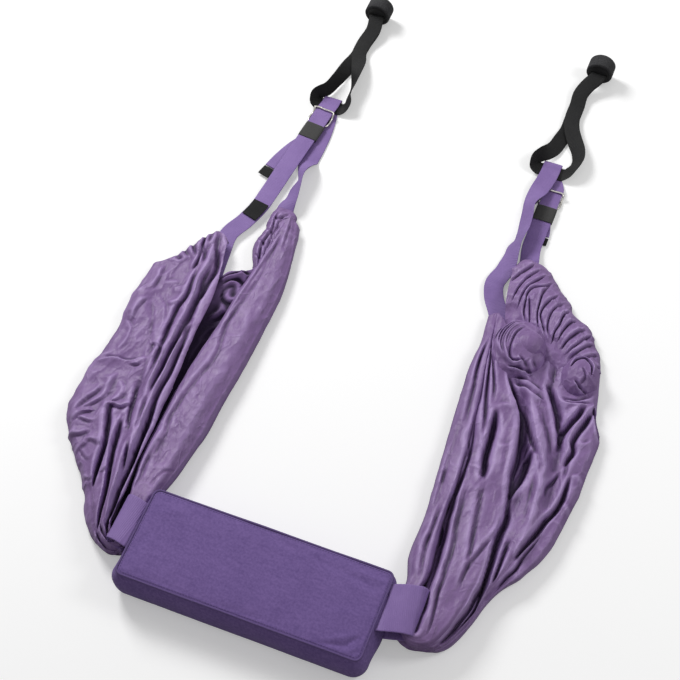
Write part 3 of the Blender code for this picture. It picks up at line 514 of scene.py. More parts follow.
# Each loop's reach from the pad's middle, and how far its pad end and its outer end lie to the back.
for side, sign, reach, inner, outer in (("left", -1, 209.5, 8.0, 14.0), ("right", 1, 225.0, 18.0, 30.0)):
    run = through([
        (172.0, 0.0, 46.0), (180.0, 0.0, 50.8), (190.0, 0.0, 53.0), (reach - 12, 0.0, 52.6),
        (reach - 4, 0.0, 49.5), (reach, 0.0, 42.5), (reach - 2.5, 0.0, 34.0), (reach - 11, 0.0, 30.0),
        (reach - 22, 0.0, 29.0), (180.0, 0.0, 29.0),
    ], 7)
    run[:, 1] += inner + (outer - inner) * np.clip((run[:, 0] - 180) / (reach - 180), 0, 1)
    run[:, 0] *= sign
    tangent = unit(np.gradient(run, axis=0))
    across = unit([0.0, 1.0, 0.0] - tangent[:, 1:2] * tangent)
    band_mesh = strip_mesh(f"{side}_pad_band", run, across, np.cross(tangent, across), 70.0, 2.0)
    band = add_piece(f"{side}_pad_band", band_mesh, purple_webbing)
    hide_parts(f"{side}_pad_loop")
    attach(band, "pad")


# The left sling: one satin cloth threaded through its loop. Its two long halves lie folded on the floor and
# its gathered hems run on the strap. The tables are lines of the cloth from the loop to the hem. A cloth
# stays LOWEST above the floor, clear of the layer that lies there.
LOWEST = 1.4


def draped(lines, per_row, spacing):
    """A cloth through lines that run along it, with its points about spacing apart across it.

    Between two lines the plan is straight, and the height goes over smoothly, or as a quarter of a sine
    beside an edge. Then both are rounded by a short average across the cloth.
    """
    kinds = [kind for kind, _ in lines]
    runs = np.stack([through(stations, per_row) for _, stations in lines])
    columns = []
    for k in range(len(runs) - 1):
        first, second = runs[k], runs[k + 1]
        gap = np.linalg.norm(second - first, axis=-1).mean()
        step = np.linspace(0.0, 1.0, max(int(gap / spacing), 3), endpoint=False)[:, None]
        between = first * (1 - step[..., None]) + second * step[..., None]
        share = step * step * (3 - 2 * step)
        if kinds[k] == "edge":
            share = np.sin(step * math.pi / 2) ** 0.8
        elif kinds[k + 1] == "edge":
            share = 1 - np.cos(step * math.pi / 2) ** 0.8
        between[..., 2] = first[:, 2] * (1 - share) + second[:, 2] * share
        columns.append(between)
    cloth = np.concatenate([*columns, runs[-1:]])
    wider = np.concatenate([cloth[:1], cloth[:1], cloth, cloth[-1:], cloth[-1:]])
    rounded = sum(w * wider[k:k + len(cloth)] for k, w in enumerate((0.1, 0.22, 0.36, 0.22, 0.1)))
    rounded[0], rounded[-1] = cloth[0], cloth[-1]
    return np.swapaxes(rounded, 0, 1)


def local_mean(values, reach):
    """Each point's mean over the square of points up to reach away."""
    padded = np.pad(values, reach, mode="edge")
    window = (2 * reach + 1, 2 * reach + 1)
    return np.lib.stride_tricks.sliding_window_view(padded, window).mean(axis=(-2, -1))


def folded(grid, folds, scale=1.0):
    """Lifts and sinks the cloth along folds. A fold is high, wide, deep and then a line in plan.

    On the line's right the cloth rises evenly to the line from slope times wide away. On its left it falls
    off at once into a groove, which is wider where it is deeper. Both narrow and fade to nothing over the
    share fading of the line at its ends.
    """
    slope, groove, fading, margin = 2.6, 1.9, 0.28, 20
    flat = grid.reshape(-1, 3)
    total = np.zeros(len(flat))
    for high, wide, deep, *line in folds:
        run = through(line, 5)
        inside = (flat[:, :2] > run.min(axis=0) - margin) & (flat[:, :2] < run.max(axis=0) + margin)
        near = np.flatnonzero(inside.all(axis=1))
        if not len(near):
            continue
        ahead = np.diff(run, axis=0)
        begin = run_lengths(run)
        best = np.full(len(near), 1e9)
        aside, along = np.zeros(len(near)), np.zeros(len(near))
        for start, way, size, done in zip(run, ahead, np.linalg.norm(ahead, axis=1), begin):
            rel = flat[near, :2] - start
            share = np.clip(rel @ way / size**2, 0, 1)
            gap = np.linalg.norm(rel - share[:, None] * way, axis=1)
            closer = gap < best
            best[closer] = gap[closer]
            side = np.sign(way[0] * rel[:, 1] - way[1] * rel[:, 0])
            aside[closer] = (gap * side)[closer]
            along[closer] = ((done + share * size) / begin[-1])[closer]
        fade = np.clip(np.minimum(along, 1 - along) / fading, 0.001, 1)
        fade = fade * (2 - fade)
        rise = np.clip(1 - best / (slope * wide * fade), 0, 1) ** 1.2
        rise = high * np.where(aside < 0, rise, np.exp(-(best**2)))
        far_side = (aside - groove) / (slope + 0.9 * max(deep - 9, 0))
        beyond = np.where(aside < groove, (groove - aside) / slope, far_side) / fade
        total[near] += fade * (rise - deep * np.clip(1 - beyond, 0, 1))
    moved = grid.copy()
    lift = local_mean(total.reshape(grid.shape[:2]), 1)
    moved[..., 2] = np.maximum(grid[..., 2] + scale * lift, LOWEST)
    return moved


def crinkled(grid, seed, size, depth, stretch=1.0, heading=70.0):
    """Moves a cloth along its normal by facets with sharp creases between them.

    Each facet is a shallow bowl round its own random middle: the height is the squared distance to the
    nearest middle. Facets are about size across, and stretch times longer along the heading.
    """
    rng = np.random.default_rng(seed)
    angle = math.radians(heading)
    ways = [(math.cos(angle) / stretch, math.sin(angle) / stretch), (-math.sin(angle), math.cos(angle))]
    plan = grid[..., :2] @ np.array(ways).T
    flat = np.concatenate([plan, 0 * plan[..., :1]], axis=-1)
    drift = np.stack([waves(flat, seed + 1, 5, size * 2.2), waves(flat, seed + 2, 5, size * 2.2)], axis=-1)
    plan = plan + size * 0.15 * drift
    low, high = plan.min(axis=(0, 1)), plan.max(axis=(0, 1))
    middles = low + (high - low) * rng.random((int(np.prod((high - low) / size)) + 4, 2))
    nearest = np.full(grid.shape[:2], 1e9)
    for middle in middles:
        nearest = np.minimum(nearest, ((plan - middle) ** 2).sum(axis=-1))
    patchy = np.clip(0.7 + 0.4 * waves(flat, seed + 3, 5, size * 3.0), 0.15, 1.3)
    height = (np.minimum(nearest / size**2, 0.8) - 0.2) * 2 * patchy * np.asarray(depth)
    normal = unit(np.cross(np.gradient(grid, axis=1), np.gradient(grid, axis=0)))
    normal *= np.where(normal[..., 2:].mean() < 0, -1, 1)
    moved = grid + normal * height[..., None]
    moved[..., 2] = np.maximum(moved[..., 2], LOWEST)
    return moved


# The satin's colour has a painted highlight on its crests and painted shade in its folds, both from the
# attribute relief, and painted highlights on fragments of sharp creases, which are also bumps.
satin, place = start_finish("violet_satin", Sheen_Weight=0.25, Sheen_Roughness=0.4,
                            Sheen_Tint=paint(214, 190, 226), Specular_IOR_Level=0.3)
fine = place.noise(0.0016, 3.0)
crinkle = place.noise(0.011, 5.0)
relief = place.node("Attribute", {"attribute_name": "relief"}, {}, "Fac")
facets = [place.cells(size, (1.0, 0.55, 1.0)) for size in (0.012, 0.006)]
tone = place.noise(0.035, 3.0).spread() * 0.6 + fine.spread() * 0.25 + crinkle.spread() * 0.15
plain = tone.clamped().mix(paint(122, 94, 143), paint(145, 115, 167))
# Painted highlight on the crests.
lit = relief.between(0.05, 0.8).mix(plain, paint(172, 145, 196))
drift = place.node("TexNoise", {}, {"Vector": place, "Scale": 25.0}, 1)
reach = (0.012, 0.012, 0.012)
bent = place.node("VectorMath", {"operation": "MULTIPLY_ADD"}, {0: drift, 1: reach, 2: place})
parts = place.noise(0.022, 1.0)
coarse_net = bent.creases(0.05, 0.05, (1.0, 0.6, 1.0)) * parts.between(0.5, 0.6)
fine_net = bent.creases(0.023, 0.07, (1.0, 0.6, 1.0)) * parts.between(0.46, 0.38) * 0.7
sharp = coarse_net + fine_net
# Painted highlights along the crease lines.
lit = (sharp * 0.34).clamped().mix(lit, paint(178, 152, 200))
# Painted shade in the folds.
colour = relief.between(-0.1, -1.0).mix(lit, paint(66, 46, 84))
bumps = facets[0] + facets[1] * 0.4 + crinkle * 0.5 + fine * 0.1 + sharp * 0.5
end_finish(satin, colour, crinkle.spread() * 0.12 + 0.42, bumps, 0.0018, 0.8)

# The cloth's dull back face lines the slings' mouths. Its colour is painted shade, darkest deep inside,
# which is towards the pad, with a painted highlight on its crests and painted shade in its folds.
painted_shade_lining, place = start_finish("satin_reverse", Sheen_Weight=0.1, Roughness=0.7, Specular_IOR_Level=0.2)
# Painted shade, darker deep inside the mouth towards the pad.
painted_shade_inside = place.axis(1).between(0.425, 0.37)
relief = place.node("Attribute", {"attribute_name": "relief"}, {}, "Fac")
# Painted highlight on the crests and painted shade in the folds.
light = relief.between(-0.5, 0.6).mix(paint(40, 26, 54), paint(150, 120, 174))
end_finish(painted_shade_lining, painted_shade_inside.mix(light, paint(44, 30, 58)), None, place.noise(0.012, 4.0), 0.0012, 0.4)


def add_cloth(name, grid, body, loop_side, finish=satin):
    """A thin cloth on its sling's body. One that leaves the pad's loop is instead kept in place,
    unattached.

    loop_side is that loop's x in metres. The attribute relief is the height over the mean within 4 points,
    from -1 at 3 mm below to 1 at 3 mm above: the finishes paint highlights on crests and shade in folds
    from it.
    """
    cloth = add_piece(name, sheet_mesh(name, [grid]), finish)
    above = (grid[..., 2] - local_mean(grid[..., 2], 4)) / 3.0
    relief = cloth.data.attributes.new("relief", "FLOAT", "POINT")
    relief.data.foreach_set("value", np.clip(above, -1, 1).astype(np.float32).ravel())
    thick = cloth.modifiers.new("Thickness", "SOLIDIFY")
    thick.thickness = 0.5 * MM
    thick.offset = -1.0
    if loop_side:
        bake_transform(cloth)
    else:
        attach(cloth, body)
    return cloth


left_front = (
    ("edge", [(-178, 20, 28), (-172, -14, 20), (-194, -22, 9), (-230, -6, 2), (-258, 36, 2),
        (-289, 81, 2), (-330, 128, 2), (-351, 167, 2), (-356, 177, 2), (-355, 193, 2), (-352, 226, 2),
        (-349, 259, 2), (-346, 299, 2), (-344, 338, 2), (-346, 401, 2), (-343, 448, 2)]),
    ("edge", [(-193, 14, 28), (-187, -20, 20), (-209, -28, 9), (-244, -14, 7), (-272, 28, 7),
        (-303, 72, 7), (-344, 119, 7), (-365, 158, 7), (-370, 168, 7), (-369, 184, 7), (-366, 217, 7),
        (-364, 250, 7), (-361, 289, 7), (-358, 329, 7), (-361, 391, 7), (-358, 438, 8)]),
    ("ridge", [(-192, 15, 30), (-187, -21, 28), (-205, -28, 26), (-232, -15, 28), (-257, 23, 27),
        (-288, 69, 26), (-326, 116, 24), (-344, 152, 23.2), (-348, 161, 23), (-348, 178, 22.6),
        (-346, 212, 21.8), (-345, 246, 21), (-343, 286, 20), (-340, 325, 19), (-344, 386, 17),
        (-348, 444, 15)]),
    ("soft", [(-191, 17, 33), (-191, -21, 32), (-205, -24, 31), (-225, -9, 34), (-246, 24, 33),
        (-274, 73, 31), (-300, 121, 29), (-315, 162, 27.4), (-319, 172, 27), (-320, 187, 26.4),
        (-321, 219, 25.2), (-322, 251, 24), (-320, 291, 23), (-318, 332, 22), (-321, 393, 20),
        (-326, 463, 18)]),
    ("soft", [(-191, 20, 35), (-194, -21, 36), (-204, -21, 35), (-222, -3, 39), (-238, 33, 37),
        (-254, 86, 34), (-268, 132, 32), (-279, 176, 29.6), (-282, 187, 29), (-282, 201, 28.6),
        (-284, 228, 27.8), (-286, 256, 27), (-287, 296, 26), (-289, 337, 25), (-292, 396, 23),
        (-310, 489, 19)]),
    ("soft", [(-190, 23, 38), (-196, -19, 38), (-203, -19, 38), (-219, 3, 43), (-227, 40, 41),
        (-237, 96, 38), (-242, 142, 35), (-252, 186, 32.6), (-254, 197, 32), (-255, 210, 31.6),
        (-256, 236, 30.8), (-257, 261, 30), (-260, 301, 28.5), (-263, 340, 27), (-267, 400, 25),
        (-297, 509, 20)]),
    ("ridge", [(-190, 26, 40), (-197, -19, 40), (-204, -18, 41), (-217, 5, 46), (-219, 44, 45),
        (-227, 101, 41), (-230, 144, 37), (-236, 190, 34.6), (-237, 201, 34), (-237, 214, 33.4),
        (-238, 239, 32.2), (-239, 264, 31), (-241, 303, 29.5), (-242, 342, 28), (-245, 402, 26),
        (-285, 527, 20)]),
    ("soft", [(-190, 29, 37), (-200, -17, 37), (-204, -15, 39), (-218, 9, 42), (-218, 50, 40),
        (-224, 106, 35), (-225, 147, 32), (-229, 194, 29.6), (-230, 205, 29), (-230, 217, 28.6),
        (-231, 241, 27.8), (-232, 266, 27), (-236, 304, 26.5), (-239, 343, 26), (-241, 405, 24),
        (-264, 517, 16)]),
    ("edge", [(-190, 33, 30), (-202, -14, 32), (-206, -12, 34), (-219, 13, 34), (-224, 58, 24),
        (-234, 116, 14), (-237, 158, 8), (-243, 205, 5.6), (-244, 217, 5), (-245, 229, 5),
        (-247, 252, 5), (-249, 276, 5), (-252, 314, 5), (-256, 353, 5), (-257, 415, 6), (-272, 516, 6)]),
)
left_front_folds = (
    (5, 9, 8, (-287, 459), (-285, 426), (-281, 390), (-285, 371), (-284, 351), (-282, 327), (-277, 293),
     (-273, 256), (-270, 216)),
    (6, 9, 12, (-283, 501), (-270, 457), (-271, 428), (-266, 399), (-265, 374), (-264, 353),
     (-263, 326), (-262, 285), (-261, 258), (-259, 220), (-256, 189)),
    (4, 7, 12, (-275, 494), (-262, 454), (-263, 432), (-263, 410), (-262, 389)),
    (6, 10, 11, (-261, 397), (-258, 358), (-252, 309), (-250, 283), (-248, 259), (-248, 223),
     (-245, 190), (-242, 156), (-238, 131), (-235, 103), (-233, 78), (-231, 55), (-229, 27), (-222, 2)),
    (4, 7, 13, (-244, 207), (-240, 166), (-238, 138), (-234, 109), (-231, 76), (-229, 49), (-226, 24)),
    (6, 10, 13, (-310, 187), (-302, 165), (-291, 138), (-282, 112), (-279, 90), (-275, 68), (-267, 44)),
    (5, 8, 12, (-280, 178), (-275, 141), (-269, 112), (-262, 91), (-256, 73), (-246, 40), (-238, 6),
     (-230, -17)),
    (3, 6, 8, (-284, 229), (-277, 199), (-271, 171), (-260, 142)),
    (5, 8, 13, (-252, 135), (-241, 96), (-232, 59), (-226, 25), (-223, 1), (-213, -21)),
    (2, 5, 7, (-250, 159), (-239, 122), (-233, 90), (-230, 64), (-226, 34), (-221, 7)),
    (2, 4, 6, (-261, 209), (-254, 176), (-247, 142)),
    (3.6, 6, 1.2, (-338, 439), (-336, 413), (-337, 385)),
    (1.5, 7.2, 0.6, (-323, 384), (-307, 371), (-294, 350), (-288, 326), (-288, 299)),
    (1.5, 7.2, 0.6, (-288, 292), (-300, 321), (-310, 346), (-324, 374)),
    (2, 7.2, 0.6, (-250, 261), (-276, 292), (-291, 295), (-288, 272), (-284, 248), (-280, 220)),
    (2.7, 7.2, 1.2, (-358, 243), (-337, 255), (-310, 258), (-290, 271)),
    (2.7, 6, 1.2, (-288, 268), (-295, 254), (-307, 253)),
    (2.7, 6, 1.2, (-334, 373), (-338, 359), (-340, 347), (-338, 322)),
    (1.8, 4.8, 1.2, (-355, 374), (-352, 389), (-345, 400)),
    (1.8, 4.8, 1.2, (-351, 325), (-336, 317), (-329, 291), (-334, 267)),
    (3.6, 8.4, 1.2, (-330, 211), (-332, 194), (-341, 177), (-352, 148)),
    (2.7, 7.2, 1.2, (-317, 234), (-319, 211), (-318, 190), (-331, 170), (-342, 159)),
    (2.7, 6, 1.2, (-321, 162), (-334, 155), (-346, 134)),
    (2.7, 4.8, 1.2, (-310, 143), (-323, 143), (-339, 144)),
    (2.7, 4.8, 1.2, (-312, 130), (-323, 120), (-343, 116)),
    (2.7, 6, 1.2, (-306, 114), (-313, 101), (-319, 85)),
    (2.7, 6, 1.2, (-278, 107), (-297, 114), (-315, 114)),
    (1.8, 4.8, 1.2, (-289, 84), (-302, 91), (-312, 99)),
    (1.8, 4.8, 1.2, (-267, 61), (-279, 58), (-294, 61)),
    (3.6, 7.2, 1.2, (-275, 190), (-287, 179), (-303, 179), (-307, 168)),
    (2.7, 6, 1.2, (-310, 224), (-296, 211), (-297, 189), (-306, 182)),
    (2.7, 4.8, 1.2, (-253, 88), (-259, 76), (-268, 71)),
    (1.8, 4.8, 1.2, (-287, 379), (-292, 369), (-302, 376)),
    (1.8, 4.8, 1.2, (-309, 406), (-291, 407), (-284, 417)),
    (1.4, 4.8, 1.2, (-325, 406), (-313, 415), (-298, 417)),
    (4.5, 6, 1.2, (-294, 521), (-292, 497), (-285, 478)),
    (4, 4, 6, (-301, 513), (-298, 492), (-287, 471), (-285, 454)),
    (4, 4, 6, (-308, 499), (-297, 483), (-293, 464), (-295, 439)),
    (4, 4, 5, (-315, 487), (-306, 476), (-297, 467)),
    (3, 4, 5, (-323, 474), (-314, 467), (-305, 465)),
    (3, 4, 4, (-331, 460), (-322, 455), (-314, 458)),
    (4, 5, 6, (-286, 529), (-281, 508), (-274, 486), (-262, 471)),
    (4, 5, 5, (-287, 544), (-270, 521), (-257, 498), (-251, 476)),
    (3, 3, 5, (-236, -11), (-222, -24), (-206, -29), (-192, -25), (-183, -18)),
    (3, 3, 5, (-233, -2), (-220, -16), (-206, -22), (-193, -18)),
    (2, 3, 4, (-228, 4), (-217, -10), (-205, -15), (-196, -13)),
    (3, 4, 4, (-284, 507), (-285, 494), (-293, 487)),
)
front = draped(left_front, 34, 1.5)
facets = np.interp(np.arange(front.shape[1]), (0, 16, 50, 85, front.shape[1]), (0.5, 1.3, 1.1, 0.4, 0.3))
front = crinkled(front, 11, 36.0, facets * 3.2, 1.7)
front = crinkled(front, 16, 14.0, facets * 1.5, 1.8)
front = folded(front, left_front_folds, 1.7)
left_front_cloth = add_cloth("left_sling_front", front, "left_sling", -0.24)
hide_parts("left_sling", "left_sling_loop_end")

left_panel = (
    ("edge", [(-199, 19, 25), (-213, 51, 22), (-224, 89, 14), (-230, 140, 9), (-233, 186, 6),
        (-232, 250, 4), (-228, 317, 4), (-221, 375, 4), (-216, 439, 5), (-210, 503, 6), (-211, 563, 8)]),
    ("ridge", [(-193, 20, 40), (-206, 48, 41), (-210, 83, 36), (-214, 134, 32), (-217, 180, 29),
        (-218, 242, 26), (-215, 310, 24), (-209, 369, 22), (-205, 434, 20), (-200, 502, 18),
        (-202, 579, 18)]),
    ("soft", [(-191, 22, 40), (-203, 51, 41), (-200, 86, 36), (-197, 133, 33), (-206, 180, 30),
        (-206, 244, 28), (-203, 312, 25), (-200, 375, 23), (-196, 434, 22), (-192, 499, 20),
        (-198, 586, 19)]),
    ("soft", [(-183, 28, 44), (-185, 53, 44), (-183, 87, 39), (-181, 131, 36), (-180, 177, 35),
        (-179, 241, 33), (-174, 312, 30), (-171, 386, 27), (-169, 451, 25), (-173, 500, 23),
        (-191, 593, 20)]),
    ("soft", [(-178, 43, 38), (-177, 65, 32), (-173, 95, 29), (-166, 133, 27), (-163, 178, 26),
        (-161, 235, 25), (-156, 311, 23), (-155, 386, 20), (-154, 454, 18), (-158, 505, 17),
        (-182, 588, 17)]),
    ("edge", [(-176, 58, 26), (-175, 86, 10), (-169, 112, 7), (-163, 151, 7), (-157, 194, 7),
        (-155, 247, 7), (-151, 318, 7), (-149, 391, 7), (-150, 467, 7), (-159, 522, 7), (-172, 579, 9)]),
    ("edge", [(-192, 52, 26), (-191, 80, 10), (-186, 109, 2), (-181, 147, 2), (-175, 190, 2),
        (-173, 243, 2), (-169, 315, 2), (-168, 388, 2), (-168, 464, 2), (-178, 519, 2), (-192, 577, 2)]),
)
left_panel_folds = (
    (3, 6, 7, (-195, 563), (-193, 506), (-197, 445), (-203, 401), (-206, 371), (-197, 310), (-206, 265),
     (-214, 219), (-215, 186), (-207, 151), (-205, 103), (-207, 65)),
    (2, 4, 6, (-191, 560), (-197, 506), (-202, 456), (-205, 425), (-210, 382)),
    (3, 5, 6, (-212, 175), (-211, 144), (-214, 119), (-212, 89), (-211, 59)),
    (2, 3, 5, (-212, 165), (-214, 131), (-216, 106), (-214, 82)),
    (2, 4, 0, (-200, 409), (-182, 398), (-174, 382), (-167, 363)),
    (1.5, 4, 0, (-189, 353), (-180, 351), (-174, 359)),
    (2, 4, 0, (-197, 327), (-196, 343), (-203, 352)),
    (1.5, 5, 2, (-212, 230), (-211, 206), (-200, 185), (-185, 166)),
    (1.5, 4, 2, (-208, 250), (-192, 238), (-189, 221)),
    (1.5, 5, 0, (-209, 148), (-205, 122), (-199, 100), (-204, 78)),
    (1.5, 5, 2, (-169, 116), (-181, 108), (-189, 91), (-194, 69)),
    (2, 5, 3, (-201, 572), (-188, 569), (-169, 564)),
    (2, 4, 3, (-189, 552), (-177, 546), (-166, 553)),
    (2, 4, 4, (-190, 587), (-186, 566), (-183, 546), (-180, 527)),
    (1, 6, 0, (-187, 468), (-176, 425), (-177, 390), (-169, 341)),
)
panel = crinkled(draped(left_panel, 24, 1.9), 21, 42.0, 1.8, 2.2, 65.0)
panel = crinkled(panel, 24, 14.0, 0.5, 1.5, 65.0)
left_panel_cloth = add_cloth("left_sling_panel", folded(panel, left_panel_folds), "left_sling", -0.24)

left_back = (
    ("edge", [(-227, -13, 20), (-229, 58, 8), (-233, 105, 4), (-237, 156, 3), (-243, 208, 3),
        (-247, 265, 3), (-249, 324, 3), (-251, 377, 4), (-255, 429, 6), (-251, 452, 9)]),
    ("soft", [(-219, -14, 22), (-224, 59, 10), (-227, 106, 5), (-230, 159, 4), (-235, 211, 3),
        (-239, 268, 3), (-238, 329, 3), (-236, 382, 5), (-237, 430, 9), (-240, 465, 17)]),
    ("soft", [(-211, -14, 22), (-220, 60, 10), (-222, 108, 5), (-222, 162, 4), (-225, 215, 3),
        (-228, 272, 3), (-225, 333, 4), (-220, 388, 6), (-221, 436, 10), (-225, 470, 18)]),
    ("soft", [(-203, -12, 22), (-217, 63, 8), (-216, 112, 4), (-214, 165, 4), (-216, 218, 3),
        (-217, 277, 3), (-213, 338, 4), (-204, 393, 7), (-203, 445, 11), (-211, 477, 18)]),
    ("edge", [(-193, -7, 20), (-213, 65, 6), (-209, 114, 4), (-206, 168, 3), (-205, 222, 3),
        (-203, 282, 3), (-198, 344, 3), (-189, 400, 6), (-189, 453, 8), (-200, 496, 10)]),
)
left_back_folds = (
    (5, 5, 5, (-247, 449), (-234, 458), (-220, 466), (-207, 467)),
    (4, 4, 5, (-242, 436), (-233, 448), (-218, 451), (-210, 441), (-209, 425), (-219, 417), (-229, 421),
     (-233, 433), (-225, 441)),
    (4, 4, 4, (-235, 415), (-225, 408), (-222, 393), (-230, 382), (-244, 379)),
    (3, 5, 4, (-213, 401), (-224, 393), (-235, 377)),
    (3, 5, 4, (-222, 371), (-231, 352), (-235, 332)),
    (3, 5, 4, (-228, 346), (-233, 321), (-233, 291)),
    (3, 4, 4, (-219, 190), (-218, 151), (-219, 109), (-219, 75)),
    (4, 3, 3, (-222, 474), (-216, 465), (-208, 456)),
)
mouth = folded(crinkled(draped(left_back, 24, 1.6), 27, 16.0, 0.5, 1.3), left_back_folds, 1.8)
left_mouth_cloth = add_cloth("left_sling_mouth", mouth, "left_sling", -0.24, painted_shade_lining)

left_hem = (
    ("edge", [(-208, 463, 6), (-211, 486, 6), (-222, 509, 6), (-228, 527, 6), (-228, 543, 6),
        (-223, 563, 7), (-225, 579, 8), (-225, 596, 8), (-222, 610, 8)]),
    ("ridge", [(-200, 462, 14), (-203, 485, 17), (-211, 504, 20), (-215, 521, 22), (-214, 538, 22),
        (-210, 557, 22), (-211, 575, 22), (-211, 593, 20), (-212, 607, 16)]),
    ("soft", [(-194, 467, 14), (-196, 488, 17), (-201, 507, 19), (-203, 525, 21), (-201, 539, 22),
        (-199, 559, 22), (-197, 578, 22), (-196, 596, 19), (-205, 609, 14)]),
    ("edge", [(-192, 476, 8), (-191, 500, 9), (-193, 517, 10), (-195, 537, 10), (-193, 551, 11),
        (-187, 570, 11), (-183, 585, 12), (-184, 599, 10), (-195, 611, 9)]),
)
left_hem_folds = (
    (4, 4, 6, (-215, 602), (-214, 579), (-210, 556), (-214, 530), (-210, 505), (-202, 479)),
    (3, 4, 5, (-207, 603), (-205, 585), (-205, 568), (-206, 547), (-204, 519), (-202, 495)),
    (3, 3, 4, (-219, 584), (-208, 576), (-202, 561)),
    (3, 3, 4, (-220, 556), (-207, 549), (-199, 535)),
    (3, 3, 4, (-223, 532), (-210, 525), (-202, 510)),
    (3, 3, 4, (-218, 505), (-207, 499), (-199, 484)),
    (3, 4, 4, (-180, 586), (-195, 587), (-205, 577)),
    (3, 4, 4, (-199, 600), (-203, 588), (-211, 581)),
)
hem = folded(crinkled(draped(left_hem, 16, 1.2), 29, 10.0, 0.8, 0.8), left_hem_folds)
left_hem_cloth = add_cloth("left_sling_hem", hem, "left_sling", None)


def on_floor(*plans):
    """The lines of a cloth that lies flat, half a millimetre over the floor."""
    return [("soft", [(x, y, 0.5) for x, y in plan]) for plan in plans]


left_floor = on_floor(
    [(-209, 8), (-256, 21), (-284, 53), (-322, 98), (-356, 151), (-364, 210), (-361, 271), (-353, 330),
     (-355, 390), (-352, 436)],
    [(-208, 9), (-243, 26), (-265, 60), (-293, 110), (-317, 166), (-318, 228), (-317, 288), (-311, 346),
     (-306, 409), (-309, 489)],
    [(-207, 10), (-232, 31), (-244, 68), (-261, 122), (-271, 184), (-271, 246), (-267, 308),
     (-260, 366), (-255, 421), (-251, 459)],
    [(-204, 11), (-219, 36), (-218, 78), (-220, 138), (-222, 203), (-221, 265), (-217, 327),
     (-212, 385), (-209, 439), (-208, 475)],
    [(-203, 14), (-195, 57), (-184, 97), (-176, 143), (-169, 195), (-167, 250), (-162, 322),
     (-161, 395), (-161, 474), (-178, 565)],
)
left_lying = draped(left_floor, 12, 6.0)
left_lying_cloth = add_cloth("left_sling_underside", left_lying, "left_sling", -0.24)


# The right sling: the same cloth turned over, threaded through the other loop. Its gathered hem is pushed
# up into a knob and a bunch round the strap.
right_under = (
    ("edge", [(201, 57, 16), (193, 96, 5), (191, 144, 3), (191, 194, 3), (194, 237, 4)]),
    ("ridge", [(214, 57, 20), (206, 100, 8), (203, 148, 6), (203, 197, 6), (203, 239, 6)]),
    ("edge", [(228, 62, 16), (223, 107, 5), (218, 155, 3), (216, 204, 3), (213, 244, 4)]),
)
under = crinkled(draped(right_under, 14, 2.2), 37, 14.0, 0.8)
right_under_cloth = add_cloth("right_sling_mouth", under, "right_sling", 0.24, painted_shade_lining)
right_panel = (
    ("edge", [(204, 49, 30), (202, 84, 14), (192, 124, 2), (191, 190, 2), (187, 252, 2), (180, 320, 2),
        (175, 389, 2), (172, 440, 2), (173, 486, 2), (171, 545, 2)]),
    ("edge", [(189, 43, 30), (187, 78, 14), (177, 116, 7), (176, 181, 7), (172, 244, 7), (165, 310, 7),
        (159, 380, 7), (156, 430, 7), (158, 476, 8), (155, 534, 8)]),
    ("ridge", [(195, 40, 42), (196, 74, 36), (188, 112, 29), (187, 176, 27), (183, 237, 26),
        (177, 303, 25), (171, 372, 25), (168, 424, 24), (166, 469, 22), (159, 535, 14)]),
    ("soft", [(199, 42, 40), (203, 77, 38), (197, 115, 34), (195, 181, 31), (192, 242, 30),
        (186, 306, 29), (179, 371, 28), (175, 423, 27), (170, 471, 24), (161, 538, 15)]),
    ("ridge", [(203, 43, 42), (210, 79, 40), (205, 116, 36), (201, 187, 33), (200, 248, 31),
        (196, 309, 30), (187, 373, 29), (181, 423, 28), (174, 472, 25), (164, 540, 15)]),
    ("edge", [(205, 54, 20), (213, 88, 14), (212, 133, 6), (204, 202, 5), (207, 262, 10),
        (203, 322, 12), (194, 385, 14), (185, 433, 15), (177, 480, 16), (168, 544, 12)]),
)
right_panel_folds = (
    (2, 7, 6, (168, 492), (166, 461), (168, 431), (174, 396), (178, 361), (183, 324)),
    (3, 8, 4, (189, 360), (197, 310), (201, 263), (204, 221), (203, 190)),
    (2, 4, 3, (180, 259), (181, 242), (184, 226)),
    (3, 7, 5, (192, 205), (194, 160), (195, 128), (199, 100), (205, 74)),
    (2, 5, 3, (194, 156), (193, 127), (196, 115)),
    (1.5, 6, 0, (175, 302), (177, 264), (181, 225), (185, 183)),
    (2, 4, 3, (193, 330), (194, 309), (201, 298), (201, 284)),
)
side_panel = crinkled(draped(right_panel, 26, 1.8), 31, 40.0, 1.6, 2.4, 75.0)
side_panel = folded(crinkled(side_panel, 34, 14.0, 0.5, 1.8, 75.0), right_panel_folds, 1.6)
right_panel_cloth = add_cloth("right_sling_panel", side_panel, "right_sling", 0.24)

right_floor = on_floor(
    [(192, 52), (190, 86), (183, 122), (181, 188), (177, 250), (171, 317), (165, 387), (162, 437),
     (163, 483), (164, 533)],
    [(206, 45), (214, 79), (208, 128), (205, 197), (204, 260), (196, 327), (191, 397), (187, 447),
     (183, 506), (172, 576)],
    [(224, 36), (241, 68), (244, 123), (248, 193), (244, 265), (234, 341), (226, 410), (223, 468),
     (214, 537), (188, 618)],
    [(239, 27), (266, 62), (284, 118), (304, 190), (306, 266), (300, 341), (289, 417), (278, 482),
     (258, 545), (225, 612)],
    [(252, 12), (280, 55), (305, 112), (342, 187), (358, 272), (363, 346), (361, 398), (344, 434),
     (332, 485), (301, 548)],
)
right_lying = draped(right_floor, 12, 6.0)
right_lying_cloth = add_cloth("right_sling_underside", right_lying, "right_sling", 0.24)

